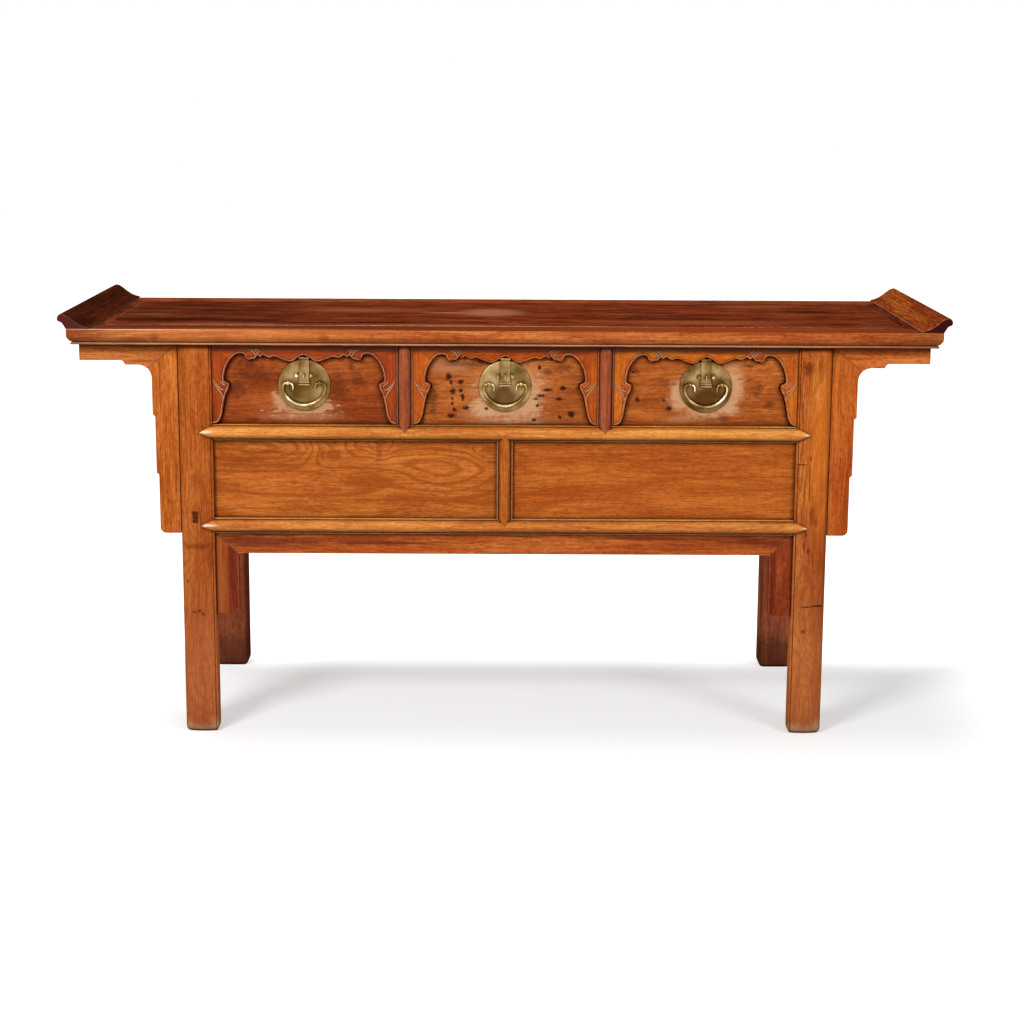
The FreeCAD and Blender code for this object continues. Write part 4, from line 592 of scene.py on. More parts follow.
crossBar = {"upright": False, "round": 1.6, "ends": (-leg["inner"], leg["inner"]), "points": (27.0, 27.0)}
divider = {"look": "divider", "upright": True, "round": 1.9, "half": 17.0, "ends": (665.0, leg["top"]),
           "points": (15.0, 0.0), "shape": overRail}
bars = {
    "drawerRail": {**crossBar, "node": "drawer_rail_front", "look": "rail", "middle": 648.0, "half": 17.0,
                   "shape": {"lip": 3.2}, "pale": False},
    "baseRailBar": {**crossBar, "node": "base_rail_front", "look": "baseRail", "middle": 449.5, "half": 16.5,
                    "shape": {"lip": 3.4}},
    "dividerLeft": {**divider, "node": "drawer_divider_left", "middle": -drawerPitch / 2},
    "dividerRight": {**divider, "node": "drawer_divider_right", "middle": drawerPitch / 2},
    "muntinBar": {"node": "front_muntin", "look": "muntin", "upright": True, "round": 1.2, "middle": 0.0,
                  "half": 16.5, "ends": (466.0, 631.0), "points": (15.0, 15.0), "shape": overRail},
}


def barSection(bar, place, share, back):
    # share is 1 along the bar and falls to 0 at a tip
    shape = {**moulding, **bar["shape"]}
    half = max(bar["half"] * share, shape["tipHalf"])
    lip = shape["lip"] * share
    deep = shape["quirk"] * share
    edge = shape["tipEdge"] + (shape["lipFace"] - shape["tipEdge"]) * share
    crown = shape["tipFace"] + (shape["face"] - shape["tipFace"]) * math.sin(share * math.pi / 2)
    lips = [(-half, back), (-half, edge + deep / 2), *[(-half + lip * out, edge) for out in shape["lipFlat"]],
            (-half + lip, edge + deep)]
    inner = half - lip * shape["clear"]
    across = list(lips)
    for k in range(shape["steps"] + 1):
        a = -1 + 2 * k / shape["steps"]
        rise = math.sqrt(max(1 - (a * shape["reach"]) ** 2, 0)) ** shape["fullness"]
        across.append((a * inner, edge + (crown - edge) * rise))
    across += mirrored(reversed(lips))
    if bar["upright"]:
        return [(bar["middle"] + u, y, place) for u, y in across]
    return [(place, y, bar["middle"] + u) for u, y in across]


barWoods = {word: woodPair(word + "Wood", look) for word, look in barLooks.items()}
for barName, bar in bars.items():
    low, high = bar["ends"]
    tip = [(t, 1 - (1 - t) ** bar["round"]) for t in tipRings]
    rings = []
    first, last = bar["points"]
    tipBack = moulding["tipBack"]
    if first:
        rings += [barSection(bar, low - first * (1 - t), share, tipBack) for t, share in tip]
    rings += [barSection(bar, p, 1.0, moulding["back"]) for p in (low, high)]
    if last:
        rings += [barSection(bar, high + last * (1 - t), share, tipBack) for t, share in reversed(tip)]
    work = bmesh.new()
    count = len(rings[0])
    loft(work, rings, wearAndHighlight=(1, 2, count - 4, count - 3) if bar.get("pale", True) else ())  # lips paler: rubbed pale, partly a painted highlight
    addPiece(barName, work, "case", barWoods[bar["look"]], [bar["node"]], angle=28)
print("moulded bars:", len(bars))

# Hanging spandrels: an arm under the top, a stepped drop beside the leg, mitred
spandrel = {"legSide": leg["outer"], "under": leg["top"], "armLength": 202.0, "armHeight": 35.5,
            "stepOut": 109.0, "step": 9.0, "curve": 28.0, "width": 54.0, "notch": 5.0, "upper": 150.0,
            "middle": 273.0, "length": 401.0, "footRound": 12.0, "front": (-244.5, -224.5), "soft": 1.5}
spandrelWax = {"roofShade": 0.9, "edgeShare": 0.15, "veins": 0.6, "cornerWaxAndShade": 0.5, "gloss": 0.0}
backTones = ("7c3a18", "9c5224", "ae6a34")
spandrelLooks = {
    ("front", "left"): {"seed": 41, "roofShade": 0.55, "tones": ("9d4a1a", "c2692b", "d6803b"),
                        "armTones": ("95481f", "ba6530", "cd7d40")},
    ("front", "right"): {"seed": 42, "roofShade": 0.6, "tones": ("913d13", "b45520", "ca702f"),
                         "armTones": ("a44c1f", "ca672f", "e08642")},
    ("back", "left"): {"seed": 43, "tones": backTones},
    ("back", "right"): {"seed": 44, "tones": backTones},
}


def spandrelOutlines():
    # out and down from the leg's upper corner
    shape = spandrel
    shelf = shape["armHeight"] + shape["step"]
    hub = (shape["width"] + shape["curve"], shelf + shape["curve"])
    bend = arc(hub, shape["curve"], 180, 270, 10)  # mitred in its middle
    armStep = arc((shape["stepOut"] + shape["step"], shelf), shape["step"], 180, 270, 5)
    arm = [(0, 0)] + bend[5:] + armStep + [(shape["armLength"], shape["armHeight"]), (shape["armLength"], 0)]
    middle = shape["width"] - shape["notch"]
    lower = middle - shape["notch"]
    footRound = shape["footRound"]
    foot = arc((lower - footRound, shape["length"] - footRound), footRound, 90, 0, 6)
    lowStep = arc((middle, shape["middle"] + shape["notch"]), shape["notch"], 180, 270, 4)
    highStep = arc((shape["width"], shape["upper"] + shape["notch"]), shape["notch"], 180, 270, 4)
    drop = [(0, 0), (0, shape["length"])] + foot + lowStep + highStep + bend[:6]
    return {"Arm": arm, "Drop": drop}


for (end, side), look in spandrelLooks.items():
    sign = -1 if side == "left" else 1
    depth = spandrel["front"] if end == "front" else (-spandrel["front"][1], -spandrel["front"][0])
    for part, outline in spandrelOutlines().items():
        work = bmesh.new()
        board(work, [(sign * (spandrel["legSide"] + u), spandrel["under"] - w) for u, w in outline], depth)
        own = {**spandrelWax, **look, "grain": "Z"}
        if part == "Arm":
            own.update(grain="X", seed=look["seed"] + 0.4, tones=look.get("armTones", look["tones"]))
        addPiece(f"spandrel{part}_{end}_{side}", work, "case",
                 woodPair(f"spandrel{part}{end}{side}", own), [f"spandrel_{end}_{side}"],
                 soft=spandrel["soft"])

# Apron: a rail and two short drops, mitred
apron = {"legSide": leg["inner"], "top": 433.0, "height": 44.0, "dropWidth": 48.0, "dropLength": 175.0,
         "round": 12.0, "fillet": 8.0, "depth": (-243.5, -225.5), "soft": 1.3,
         "railTones": ("92421c", "b55a27", "ca7436"), "dropTones": ("6d2613", "8d3c1e", "a4502a")}
apronLook = {"veins": 0.75, "veinHex": "4a140c", "edgeShare": 0.4, "edgeHex": "b06c40", "gloss": 0.0}
# purple heartwood streaks
apronStain = {"hex": "5a1d1a", "share": 0.7, "fray": 1.2, "soft": 0.5, "by": ("vein", "streak")}
apronStains = {
    "Rail": ((-530, 416, 96, 19), (-470, 416, 110, 9), (-250, 412, 130, 4), (550, 418, 76, 11),
             (300, 424, 120, 4)),
    "DropLeft": ((-568, 345, 11, 110),), "DropRight": ((566, 340, 6, 80),)}
paleSap = {**apronStain, "hex": "b4622c", "share": 0.55, "fray": 0.9, "spots": onFace(
    apron["depth"][0], [(-600, 345, 15, 120)], stainDepth)}  # the left drop was cut across the sapwood
inner = apron["legSide"] - apron["dropWidth"]
low = apron["top"] - apron["height"]
fillet = arc((inner - apron["fillet"], low - apron["fillet"]), apron["fillet"], 90, 0, 8)
foot = apron["top"] - apron["dropLength"]
outerCorner = (apron["legSide"], apron["top"])
halfRail = [outerCorner] + list(reversed(fillet[:5]))  # the mitre meets the fillet in its middle
footRound = arc((inner + apron["round"], foot + apron["round"]), apron["round"], 180, 270, 6)
dropRight = [outerCorner] + fillet[4:] + footRound + [(apron["legSide"], foot)]
apronOutlines = {
    "Rail": halfRail + mirrored(reversed(halfRail)), "DropRight": dropRight, "DropLeft": mirrored(dropRight)}
for index, (part, outline) in enumerate(apronOutlines.items()):
    work = bmesh.new()
    board(work, outline, apron["depth"])
    streaks = {**apronStain, "spots": onFace(apron["depth"][0], apronStains[part], stainDepth)}
    own = {**apronLook, "grain": "Z", "tones": apron["dropTones"], "seed": 50 + index, "stains": [streaks]}
    if part == "Rail":
        own.update(grain="X", tones=apron["railTones"])
    if part == "DropLeft":
        own["stains"].append(paleSap)
    woods = woodPair(f"apron{part}", own)
    addPiece(f"apron{part}", work, "case", woods, ["apron_front"], soft=apron["soft"])
print("spandrels and apron built")

# Drawers: board, carved strips with a bead along their edge, brass
drawer = {"half": 189.6, "top": 830.0, "stripFace": -246.5, "boardFace": -239.5, "plateLevel": 747.0,
          "soft": 0.8, "bead": 2.3, "beadSunk": 0.5, "crest": 1.2, "crestIn": 0.9, "crestOut": 0.75,
          "coveShade": 4.4, "coveSunk": 2.5, "coveRise": 0.1, "hollowDepth": -245.0}
stripCorner = (153.8, 29.2)
carvedTop = [  # from the middle out: out, down
    (0, 17.2), (6.4, 20.0), (13.7, 23.2), (20, 28.6), (28.3, 31.6), (42.9, 27.4), (54.6, 22.5), (63.3, 21.0),
    (70.6, 23.8), (77.9, 20.4), (83.7, 17.6), (89.6, 22), (95, 18.4), (99.8, 24.8), (107, 27.2),
    (113.5, 28.3), (118.3, 24.8), (119.5, 19.5), (123.5, 16.2), (130.4, 14.6), (142.1, 17.8), stripCorner]
carvedSide = [
    stripCorner, (161.1, 42.3), (165.5, 56.9), (166.9, 68.6), (165.5, 76.4), (158, 78.8), (155.2, 83.2),
    (158.2, 89.5), (160.6, 94.8), (163.6, 102), (166.6, 112.3), (169.5, 126.9), (172.6, 144.4),
    (177.7, 156.1), (183.5, 160.8), (drawer["half"], 162)]
leafStrokes = [  # raised veins of the leaves, from the middle out: out, down
    [(114, 8.5), (106, 11), (100.5, 17), (98.3, 25)],
    [(108, 7.2), (100.5, 9.6), (95.8, 14.5), (93.5, 21)],
    [(101, 6.2), (94.5, 8.6), (90.5, 13.5)],
    [(187.5, 70.8), (180.7, 86.7), (170, 102.6), (168, 112)],
    [(181, 79.5), (174, 89.6), (164.8, 92.4)],
    [(173, 74), (167.5, 80.5), (162, 83), (158.5, 82.6)],
]
leafLobes = [  # swelling leaf tips
    [(121, 17), (119.6, 21.5), (113.8, 25), (107, 23.6), (102, 19.5)],
    [(168, 72), (161.5, 78.5), (159.2, 83.5), (163, 90)],
]
# painted shade in the hollows between the leaves: out, down, two half sizes
leafHollowShades = (
    (108, 28, 5, 2.2), (98.6, 23.5, 2.4, 3.2), (91, 19.5, 2.2, 2), (155.5, 84, 2.4, 4), (163.5, 98.5, 3, 4.5))
leafKinds = (
    {"lines": leafStrokes, "steps": 5, "sunk": 0.2, "least": 0.4, "swell": 1.3, "power": 0.7, "sides": 8,
     "slot": 1},
    {"lines": leafLobes, "steps": 4, "sunk": 0.6, "least": 0.6, "swell": 2.6, "power": 1.0, "sides": 10,
     "slot": 0},
)
boardLook = {"grain": "X", "rough": (0.42, 0.6), "shade": 0.5, "reach": 13, "cornerWaxAndShade": 0.95}
# painted shade: a near-black band along the bead's inner side, where the carving's hollow falls into shade
coveShadeLook = {"tones": ("2a0d06", "3a150a", "4a1f0f"), "gloss": 0.0}
# on the carved strips the painted shadow under the top's overhang reaches further down
carvedLook = {"roofShade": 0.9, "roofFrom": 815.0, "gloss": 0.12, "edgeHex": "d8a47e", "edgeShare": 0.7,
              "shade": 0.6}
carvedTones = {  # each drawer was cut from another board
    "left": ("832e09", "9e3f0f", "b15216"), "middle": ("973c09", "b7520f", "cd6917"),
    "right": ("a0460e", "c25f16", "d9791f")}
stripTones = {  # strips that differ from the rest of their drawer
    ("left", "Top"): ("92350b", "b04912", "c45e1a"), ("middle", "Left"): ("9e400b", "c05811", "d6701a"),
    ("middle", "Right"): ("8a330a", "a9490e", "be5e14")}
boardTones = {
    "left": ("76320f", "974419", "ae5b27"), "middle": ("844017", "a95623", "c27234"),
    "right": ("884317", "ae5923", "c87634")}
crestHighlightShares = {"left": 0.85, "middle": 0.66, "right": 0.66}
crestHighlightFrom = {"left": 0, "middle": 96, "right": 60}  # nearer to the middle the bead's crest has no painted highlight
# stains and bare rubbed places round the brass: out from the drawer's middle, above the plate's middle, two
# half sizes
darkStain = {"hex": "1d0a07", "share": 0.92, "fray": 1.7, "soft": 0.4}
faintStain = {"hex": "4a1f10", "share": 0.6, "fray": 1.6, "soft": 0.6}
bareWood = {"hex": "cf9f76", "share": 0.8, "fray": 1.6, "soft": 0.35, "by": ("streak", "mottle")}
thinWear = {"hex": "b9835e", "share": 0.5, "fray": 1.3, "soft": 0.35, "by": ("streak", "mottle")}
boardStains = {
    "left": (
        (thinWear, ((-10, -65, 76, 10),)),
        ({**bareWood, "share": 0.66, "fray": 3.2},
         ((-47, -34, 17, 20), (-2, -49, 52, 13), (40, -42, 16, 13))),
        (faintStain, ((-132, 44, 9, 7), (-113, 42, 14, 7), (97, 42, 6, 8), (76, -14, 14, 12), (68, 0, 18, 24),
                      (-100, 20, 40, 14), (-107, -74, 9, 4), (-140, -10, 16, 20), (110, 10, 16, 14))),
    ),
    "middle": (
        (thinWear, ((16, -72, 84, 7), (-40, -58, 44, 14), (-118, 40, 40, 12))),
        (bareWood, ((11, -12, 61, 60), (-34, -44, 34, 20), (44, -40, 30, 30))),
        (darkStain, ((-117, 20, 6.5, 7.5), (-112, 7, 3.4, 5), (-93, 8, 6, 4.5), (-108, -11.5, 5.5, 6),
                     (-92, -10, 3.6, 3.6), (-88, -25, 4.4, 6.5), (-109, -27, 3.4, 3.6), (-109, -37, 3, 4.6),
                     (-105, -51, 4.6, 4.4), (-111, -63, 9, 4.6), (-81, -47, 5.5, 4.6), (-38, 52, 24, 4.6),
                     (71, 40, 3.6, 5.4), (88, -8, 12, 2.8), (75, -20, 10, 3.2), (64, -27, 4.8, 3),
                     (120, -4, 5.6, 4.6), (68, -41, 3.6, 3), (112, -27, 6, 2.8), (114, -65, 3.8, 3.6),
                     (138, -59, 6.4, 6), (60, -71, 5, 3), (-39, -48, 3.8, 3))),
        (faintStain, ((88, 30, 10, 6), (-70, 46, 50, 5), (120, 36, 20, 8), (-150, -30, 8, 30))),
    ),
    "right": (
        (thinWear, ((-50, -68, 26, 7), (40, -50, 34, 12))),
        (bareWood, ((-52, -18, 20, 30), (49, 2, 26, 40), (42, -40, 24, 20), (0, -36, 52, 26))),
        (darkStain, ((-142, -26, 5, 6), (-76, -45, 6, 5), (-86, -28, 2, 2), (-150, 30, 3, 2.4))),
        (faintStain, ((-144, 32, 8, 6), (110, 0, 9, 10), (104, -14, 6, 6), (132, -36, 9, 7), (90, 44, 10, 4),
                      (40, -64, 12, 5))),
    ),
}
topLine, sideLine = smoothLine(carvedTop, 4), smoothLine(carvedSide, 4)
half = drawer["half"]
stripOutlines = {
    "Top": ("X", [(-half, 0), (half, 0)] + list(reversed(topLine)) + mirrored(topLine[1:])),
    "Left": ("Z", mirrored(sideLine) + [(-half, 0)]),
    "Right": ("Z", sideLine + [(half, 0)]),
}
for word, column in drawerWords.items():
    centre = drawerPitch * column
    body = f"drawer_{word}"
    stains = []
    for kind, spots in boardStains[word]:
        placed = [(centre + u, drawer["plateLevel"] + w, *rest) for u, w, *rest in spots]
        stains.append({**kind, "spots": onFace(drawer["boardFace"], placed, stainDepth)})
    look = {**boardLook, "tones": boardTones[word], "seed": 60 + column, "stains": stains}
    dress([f"{body}_front"], woodPair(f"{body}Board", look), drawer["soft"])
    for part, (grain, outline) in stripOutlines.items():
        work = bmesh.new()
        board(work, [(centre + u, drawer["top"] - w) for u, w in outline],
              (drawer["stripFace"], drawer["boardFace"]))
        woods = woodPair(f"{body}Strip{part}", {
            **carvedLook, "tones": stripTones.get((word, part), carvedTones[word]), "grain": grain,
            "seed": 70 + column + len(part) / 7})
        addPiece(f"{body}_strip{part}", work, body, woods, [f"{body}_frame"])
    work = bmesh.new()
    coveShade = bmesh.new()
    for sign in (-1, 1):
        for line in (carvedTop, carvedSide):
            points = [Vector(p) for p in smoothLine(line, 5)]
            rows = [(centre + sign * p.x, drawer["top"] - p.y, sign * -t.y, -t.x)
                    for p, t in zip(points, headings(points))]  # place, and the way out of the strip
            tube(work, [(x, drawer["stripFace"] + drawer["beadSunk"], z) for x, z, _, _ in rows],
                 [drawer["bead"]] * len(rows), 8)
            # a pale crest along the bead, partly rubbed wood and partly a painted highlight
            back, front = drawer["crestIn"], drawer["stripFace"] - drawer["crestOut"]
            bright = [row for row in rows if abs(row[0] - centre) >= crestHighlightFrom[word]]
            crest = [(x - a * back, front, z - b * back) for x, z, a, b in bright]
            tube(work, crest, [drawer["crest"]] * len(crest), 6, slot=1)
            # a dark band laid on the board beside the bead: painted shade
            top, foot = drawer["stripFace"] + drawer["coveSunk"], drawer["boardFace"] - drawer["coveRise"]
            wide = drawer["coveShade"]
            loft(coveShade, [[(x, top, z), (x + a * wide, foot, z + b * wide), (x, foot, z)]
                        for x, z, a, b in rows])
        for kind in leafKinds:
            for stroke in kind["lines"]:
                path = [(centre + sign * u, drawer["stripFace"] + kind["sunk"], drawer["top"] - w)
                        for u, w in smoothLine(stroke, kind["steps"])]
                rise = [math.sin(math.pi * (k + 0.5) / len(path)) ** kind["power"] for k in range(len(path))]
                radii = [kind["least"] + kind["swell"] * share for share in rise]
                tube(work, path, radii, kind["sides"], slot=kind["slot"])
    # dark spots painted in the carving's hollows: painted shade
    placed = [(centre + sign * u, drawer["top"] - w, *rest)
              for u, w, *rest in leafHollowShades for sign in (-1, 1)]
    hollowShades = {"hex": "2a0c06", "share": 0.9, "fray": 0.8, "soft": 0.4,
               "spots": onFace(drawer["hollowDepth"], placed, stainDepth)}
    beadLook = {**carvedLook, "tones": carvedTones[word], "grain": "X", "seed": 75 + column,
                "stains": (hollowShades,)}
    beadWood = [waxedHardwood(f"{body}Bead", beadLook),
                waxedHardwood(f"{body}Crest", beadLook, wearAndHighlight=crestHighlightShares[word])]
    addPiece(f"{body}_bead", work, body, beadWood, [f"{body}_frame"], angle=60)
    coveWood = waxedHardwood(f"{body}Cove", {**beadLook, **coveShadeLook})
    addPiece(f"{body}_cove", coveShade, body, [coveWood], [f"{body}_frame"], angle=40)
print("drawers carved")

# Old sheet brass and drawn brass wire, hammered, then rubbed by hands: warm metal with brown tarnish in the
# low places and fine scratches
brassSizes = {"cloud": 45, "hammer": 16, "scratch": (1.2, 9, 30), "corner": 9, "slant": 0.5}  # slant: radians
handMark = {"level": 723.0, "depth": -241.5, "half": (50, 50, 45.45), "fray": 0.6, "full": 0.72,
            "clean": 1.44, "hex": "472a09"}  # the hand behind the bail leaves a darker brown


def rubbedBrass(name, seed, tones, handled=None, dents=0.3):
    material = bpy.data.materials.new(name)
    tree = emptyTree(material)
    place = addNode(tree, "TexCoord")["Object"]
    moved = addNode(tree, "Mapping", {"Vector": place, "Location": (seed, seed * 0.3, seed * 0.7)})[0]
    cloud = addNode(tree, "TexNoise", {
        "Vector": moved, "Scale": 1 / (brassSizes["cloud"] * mm), "Detail": 4})["Fac"]
    hammer = addNode(tree, "TexNoise", {
        "Vector": moved, "Scale": 1 / (brassSizes["hammer"] * mm), "Detail": 1})["Fac"]
    slanted = addNode(tree, "Mapping", {
        "Vector": moved, "Rotation": (0, brassSizes["slant"], 0),
        "Scale": [1 / (size * mm) for size in brassSizes["scratch"]]})[0]
    scratch = addNode(tree, "TexNoise", {"Vector": slanted, "Scale": 1, "Detail": 2})["Fac"]
    tone = addNode(tree, "Math", {0: scratch, 1: 0.1, 2: cloud}, operation="MULTIPLY_ADD")[0]
    colour = addNode(tree, "ValToRGB", {0: tone}, stops=[
        (0.42, linear(tones[0])), (0.55, linear(tones[1])), (0.69, linear(tones[2]))])["Color"]
    if handled:
        across, share = handled
        spot = (across, handMark["depth"], handMark["level"], *handMark["half"])
        uneven = addNode(tree, "Math", {
            0: cloud, 1: handMark["fray"], 2: spotDistance(tree, place, spot)}, operation="MULTIPLY_ADD")[0]
        colour = coat(tree, colour, uneven, handMark["clean"], handMark["full"], share, handMark["hex"])
    reach = brassSizes["corner"] * mm
    corner = addNode(tree, "AmbientOcclusion", {"Distance": reach}, samples=6)["AO"]
    colour = coat(tree, colour, corner, 0.9, 0.35, 0.85, "33230e")  # tarnish that no hand rubs away
    roughness = addNode(tree, "MapRange", {0: tone, 1: 0.38, 2: 0.75, 3: 0.44, 4: 0.28})[0]
    height = addNode(tree, "Math", {0: scratch, 1: 0.06, 2: hammer}, operation="MULTIPLY_ADD")[0]
    bump = addNode(tree, "Bump", {"Height": height, "Strength": dents, "Distance": 1.2 * mm})[0]
    shader = addNode(tree, "BsdfPrincipled", {
        "Base Color": colour, "Roughness": roughness, "Normal": bump, "Metallic": 1.0})[0]
    addNode(tree, "OutputMaterial", {"Surface": shader})
    return material


brassFit = {
    "plateLevel": drawer["plateLevel"], "plateRadius": 54.0, "plateBack": -239.55, "plateFace": -241.1,
    "dome": 0.6, "plateHole": 0.2, "rimRound": 0.35,
    "pinLevel": 804.0, "pinDepth": -243.9, "pinReach": 11.0, "pinTip": 0.5, "pin": 1.5, "pinEnd": 0.7,
    "lug": (7.1, 10.1), "lugHalf": 3.4, "lugBack": -239.6,
    "strapHalf": 10.4, "neckHalf": 7.0, "neckLevel": 799.4, "neckTop": 801.8, "foot": 746.4, "corner": 0.8,
    "strapDepth": (-245.0, -242.8), "curl": (2.6, 0.95, 6.9), "slot": (2.1, 5.3), "patchIn": 0.4,
    "patchHalf": 7.0, "patchDepth": (-245.8, -244.7), "ridges": (748.7, 754.0), "ridge": 2.2, "ridgeEnd": 1.2,
    "ridgeHalf": 12.6, "ridgeFull": 0.94,
    "lockLevel": 768.0, "lockOut": 15.0, "staple": (1.5, 4.6), "stapleDepth": (-251.5, -240.6),
    "eyeOut": 33.0, "eyeLevel": 752.0, "eye": (3.95, 1.15, 2.3),
    "bailDepth": -246.2, "wireEnd": 0.8, "tip": 1.6, "taper": 0.09, "wire": 2.3, "belly": 3.2,
    "bellyRise": 34.0,
}
# profiles of turned pieces: radius, depth
postProfile = ((0.2, -240.4), (4.2, -240.5), (4.3, -242.2), (3.1, -243.4), (2.9, -247.0), (3.9, -248.3),
               (4.2, -249.8), (3.8, -251.4), (2.6, -252.6), (0.2, -253.1))
washerProfile = ((0.2, -240.4), (4.4, -240.5), (4.2, -241.6), (2.2, -242.2), (0.2, -242.3))
# the plate's dome and its raised rim: share of the radius, share of the dome, depth from the face
plateProfile = ((0.35, 0.9, 0), (0.7, 0.5, 0), (0.93, 0, -0.05), (0.955, 0, 0.1), (0.97, 0, -0.25),
                (0.99, 0, -0.2))
# half a bail from its tip to the bottom: out and down from the eyes, then arcs with centre, radius, first and
# last angle, steps
bailTip = ((23, 15), (23, 11))
bailArcs = (
    ((30, 7), 7, 180, 90, 8), ((36, 8), 8, 90, 0, 8), ((14, 8), 30, 0, -30.5, 8),
    ((0, -0.25), 46.25, -30.5, -90, 14))
bailDrop = 46.0
plateTones = {"left": ("5c431f", "85653a", "a6895c"), "middle": ("5e4520", "927144", "ba9c6d"),
              "right": ("583f1e", "87653c", "ab8d60")}
brightTones = ("6c5026", "a3864e", "ecdcb4")
handShares = {"left": 0.48, "middle": 0.88, "right": 0.96}


def cutSheet(work, outlines, depth):
    # a sheet of metal with holes: the first outline is its edge
    edges = []
    for outline in outlines:
        ring = [work.verts.new(Vector((x, depth[0], z)) * mm) for x, z in outline]
        edges += [work.edges.new((a, b)) for a, b in zip(ring, ring[1:] + ring[:1])]
    faces = [f for f in bmesh.ops.triangle_fill(work, use_beauty=True, edges=edges)["geom"]
             if isinstance(f, bmesh.types.BMFace)]
    grown = bmesh.ops.extrude_face_region(work, geom=faces, use_keep_orig=True)["geom"]
    for vert in grown:
        if isinstance(vert, bmesh.types.BMVert):
            vert.co.y = depth[1] * mm


def hoop(work, centre, radius, wire, wide, sides=20):
    # a ring whose hole runs sideways
    x, y, z = centre
    rings = []
    for a in turns(sides):
        rings.append([(x + wide * math.cos(b), y + (radius + wire * math.sin(b)) * math.cos(a),
                       z + (radius + wire * math.sin(b)) * math.sin(a)) for b in turns(10)])
    loft(work, rings, closed=True)


for word, column in drawerWords.items():
    fit = brassFit
    centre = drawerPitch * column
    body = f"drawer_{word}"
    seed = 3.1 * column
    sheet = rubbedBrass(f"sheetBrass_{word}", seed, plateTones[word], (centre, handShares[word]))
    flat = rubbedBrass(f"strapBrass_{word}", seed + 2, plateTones[word])
    bright = rubbedBrass(f"wornBrass_{word}", seed + 1, brightTones, dents=0.1)

    work = bmesh.new()
    radius, hole, face, dome = fit["plateRadius"], fit["plateHole"], fit["plateFace"], fit["dome"]
    turned(work, (centre, fit["plateLevel"]), [
        (hole, face - dome), *[(radius * out, face - dome * rise + deep) for out, rise, deep in plateProfile],
        (radius, face + fit["rimRound"]), (radius, fit["plateBack"]), (hole, fit["plateBack"])], 72)
    addPiece(f"{body}_disc", work, body, [sheet], [f"{body}_plate"], angle=50)

    work = bmesh.new()
    for sign in (-1, 1):
        turned(work, (centre + sign * fit["lockOut"], fit["lockLevel"]), postProfile, 24)
        eye = (centre + sign * fit["eyeOut"], fit["bailDepth"], fit["eyeLevel"])
        hoop(work, eye, *fit["eye"])
        turned(work, (eye[0], eye[2]), washerProfile, 20)
    lock = fit["lockLevel"]
    wide, tall = fit["staple"]
    corners = ((-wide, -tall), (wide, -tall), (wide, tall), (-wide, tall))
    board(work, [(centre + x, lock + z) for x, z in corners], fit["stapleDepth"])
    addPiece(f"{body}_posts", work, body, [bright], [f"{body}_staples"], angle=50, soft=0.4)

    work = bmesh.new()
    for sign in (-1, 1):
        low, high = sorted(centre + sign * out for out in fit["lug"])
        lug = arc((fit["pinDepth"], fit["pinLevel"]), fit["lugHalf"], 90, 270, 10)
        top, bottom = [(fit["lugBack"], fit["pinLevel"] + k * fit["lugHalf"]) for k in (1, -1)]
        loft(work, [[(x, y, z) for y, z in [top] + lug + [bottom]] for x in (low, high)])
    reach, tip = fit["pinReach"], fit["pinReach"] + fit["pinTip"]
    tube(work, [(centre + x, fit["pinDepth"], fit["pinLevel"]) for x in (-tip, -reach, reach, tip)],
         [fit["pinEnd"], fit["pin"], fit["pin"], fit["pinEnd"]])
    addPiece(f"{body}_hinge", work, body, [flat], [f"{body}_staples"], angle=50)

    work = bmesh.new()
    half, neck, shoulder, cornerCut = fit["strapHalf"], fit["neckHalf"], fit["neckLevel"], fit["corner"]
    side = [(half, fit["foot"]), (half, shoulder - cornerCut), (half - cornerCut, shoulder), (neck, shoulder),
            (neck, fit["neckTop"])]
    strap = side + mirrored(reversed(side))
    slot, patch = [[(x, lock + z), (x, lock - z), (-x, lock - z), (-x, lock + z)]
                   for x, z in (fit["slot"], (half - fit["patchIn"], fit["patchHalf"]))]
    for outline, depth in ((strap, fit["strapDepth"]), (patch, fit["patchDepth"])):
        cutSheet(work, [[(centre + x, z) for x, z in loop] for loop in (outline, slot)], depth)
    hoop(work, (centre, fit["pinDepth"], fit["pinLevel"]), *fit["curl"], 24)
    for level in fit["ridges"]:
        ends = [k * fit["ridgeHalf"] for k in (-1, -fit["ridgeFull"], fit["ridgeFull"], 1)]
        tube(work, [(centre + x, fit["strapDepth"][0], level) for x in ends],
             [fit["ridgeEnd"], fit["ridge"], fit["ridge"], fit["ridgeEnd"]])
    addPiece(f"{body}_strap", work, f"hasp_{word}", [flat], [f"{body}_hasp"], angle=40)

    work = bmesh.new()
    level = fit["eyeLevel"]
    half = [(x, level - down) for x, down in bailTip]
    for index, ((out, down), radius, first, last, steps) in enumerate(bailArcs):
        half += arc((out, level - down), radius, first, last, steps)[1 if index > 1 else 0:]
    line = half + mirrored(reversed(half[:-1]))
    radii = []
    for index, (x, z) in enumerate(line):
        near = min(index, len(line) - 1 - index)
        belly = max(0, 1 - (z - level + bailDrop) / fit["bellyRise"])
        wire = min(fit["wire"], fit["tip"] + near * fit["taper"])
        radii.append(wire + (fit["belly"] - fit["wire"]) * belly)
    radii[0] = radii[-1] = fit["wireEnd"]
    tube(work, [(centre + x, fit["bailDepth"], z) for x, z in line], radii, 14)
    addPiece(f"{body}_handle", work, f"bail_{word}", [bright], [f"{body}_bail"], angle=60)
print("brass fitted")

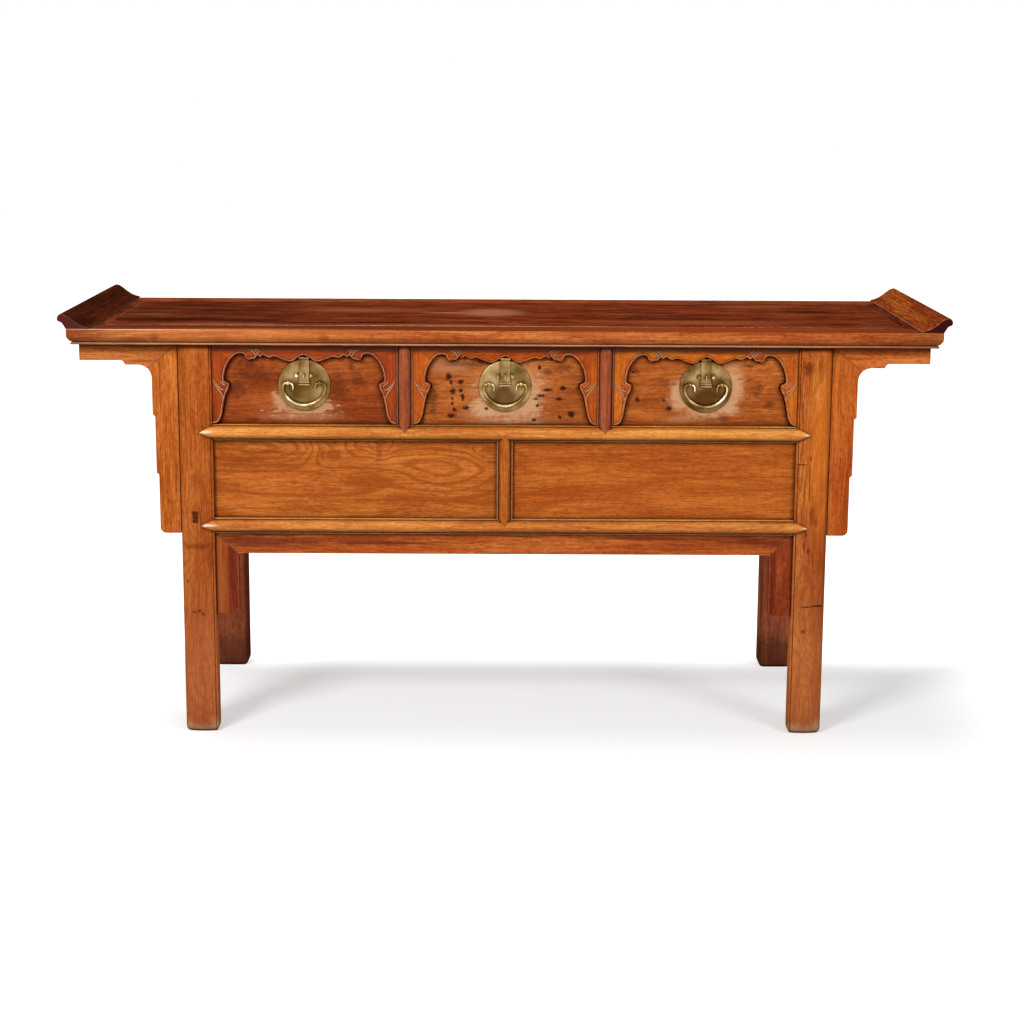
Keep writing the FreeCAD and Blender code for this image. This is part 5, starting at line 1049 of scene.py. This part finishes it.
# Stage: pale floor that keeps the shadow, soft light from the front left, and the camera
# floorHalf in m, paper in m for X and for Y: its middle, its half size with shadow, where it ends
stage = {"floorHalf": 14.0, "floorShine": (0.43, 1.0), "floorHex": "b8b8b8", "seenHex": "c2c2c2",
         "world": 0.32, "paper": ((0.17, 0.7, 1.25), (-0.14, 0.25, 0.5))}


def backgroundRays(tree):
    # 1 for the rays that see the background: straight from the camera, off gloss, through glass
    rays = addNode(tree, "LightPath")
    seen = rays["Is Camera Ray"]
    for word in ("Is Glossy Ray", "Is Transmission Ray"):
        seen = addNode(tree, "Math", {0: seen, 1: rays[word]}, operation="MAXIMUM")[0]
    return seen


floorMesh = bpy.data.meshes.new("floor")
reach = stage["floorHalf"]
corners = [(-reach, -reach, 0), (reach, -reach, 0), (reach, reach, 0), (-reach, reach, 0)]
floorMesh.from_pydata(corners, [], [(0, 1, 2, 3)])
floor = bpy.data.objects.new("floor", floorMesh)
scene.collection.objects.link(floor)
# Matte paper, rolled out smooth: no gloss, grey only where the shadow falls
floorPaint = bpy.data.materials.new("mattePaper")
tree = emptyTree(floorPaint)
matte = addNode(tree, "BsdfDiffuse", {"Color": linear(stage["floorHex"])})[0]
place = addNode(tree, "TexCoord")["Object"]
axes = addNode(tree, "SeparateXYZ", {0: place})
outside = 0.0
for axis, (middle, near, far) in zip(axes, stage["paper"]):
    moved = addNode(tree, "Math", {0: axis, 1: middle}, operation="SUBTRACT")[0]
    away = addNode(tree, "Math", {0: moved}, operation="ABSOLUTE")[0]
    edge = addNode(tree, "MapRange", {0: away, 1: near, 2: far}, interpolation_type="SMOOTHSTEP")[0]
    outside = addNode(tree, "Math", {0: edge, 1: outside}, operation="MAXIMUM")[0]
low, high = stage["floorShine"]
glow = addNode(tree, "MapRange", {0: outside, 3: low, 4: high})[0]
shine = addNode(tree, "Emission", {"Color": (1, 1, 1, 1), "Strength": glow})[0]
paler = addNode(tree, "BsdfDiffuse", {"Color": linear(stage["seenHex"])})[0]
both = addNode(tree, "AddShader", {0: paler, 1: shine})[0]
pick = addNode(tree, "MixShader", {0: backgroundRays(tree), 1: matte, 2: both})[0]
addNode(tree, "OutputMaterial", {"Surface": pick})
floorMesh.materials.append(floorPaint)

world = bpy.data.worlds.new("studio")
scene.world = world
tree = emptyTree(world)
level = addNode(tree, "MapRange", {0: backgroundRays(tree), 3: stage["world"], 4: 1.0})[0]
sky = addNode(tree, "Background", {"Color": (1, 1, 1, 1), "Strength": level})[0]
addNode(tree, "OutputWorld", {"Surface": sky})

lamps = {
    "keyLeft": {"at": (-2.1, -3.1, 3.4), "aim": (0, -0.2, 0.5), "size": (1.2, 1.2), "watts": 150},
    "fillRight": {"at": (2.8, -3.0, 2.9), "aim": (0, -0.2, 0.5), "size": (1.2, 1.2), "watts": 70},
    "overTop": {"at": (-0.7, 0.2, 3.6), "aim": (0, 0, 0.5), "size": (1.3, 0.9), "watts": 80},
}
for lampName, lamp in lamps.items():
    data = bpy.data.lights.new(lampName, "AREA")
    data.shape = "RECTANGLE"
    data.size, data.size_y = lamp["size"]
    data.energy = lamp["watts"]
    light = bpy.data.objects.new(lampName, data)
    light.location = lamp["at"]
    light.rotation_euler = (Vector(lamp["aim"]) - Vector(lamp["at"])).to_track_quat("-Z", "Y").to_euler()
    scene.collection.objects.link(light)

view = {"at": (-0.003, -3.977, 1.376), "yaw": 0.21, "pitch": 9.65, "roll": 0.32, "focal": 1831, "frame": 1024,
        "sensor": 36, "shift": -0.12}  # metres, degrees, focal length and frame in pixels, sensor in mm
cameraData = bpy.data.cameras.new("camera")
cameraData.sensor_width = view["sensor"]
cameraData.lens = view["sensor"] * view["focal"] / view["frame"]
cameraData.shift_y = view["shift"]
camera = bpy.data.objects.new("camera", cameraData)
camera.location = view["at"]
camera.rotation_euler = (math.radians(90 - view["pitch"]), math.radians(-view["roll"]),
                         math.radians(-view["yaw"]))
scene.collection.objects.link(camera)
scene.camera = camera
scene.view_settings.view_transform = "Standard"
print("stage set")
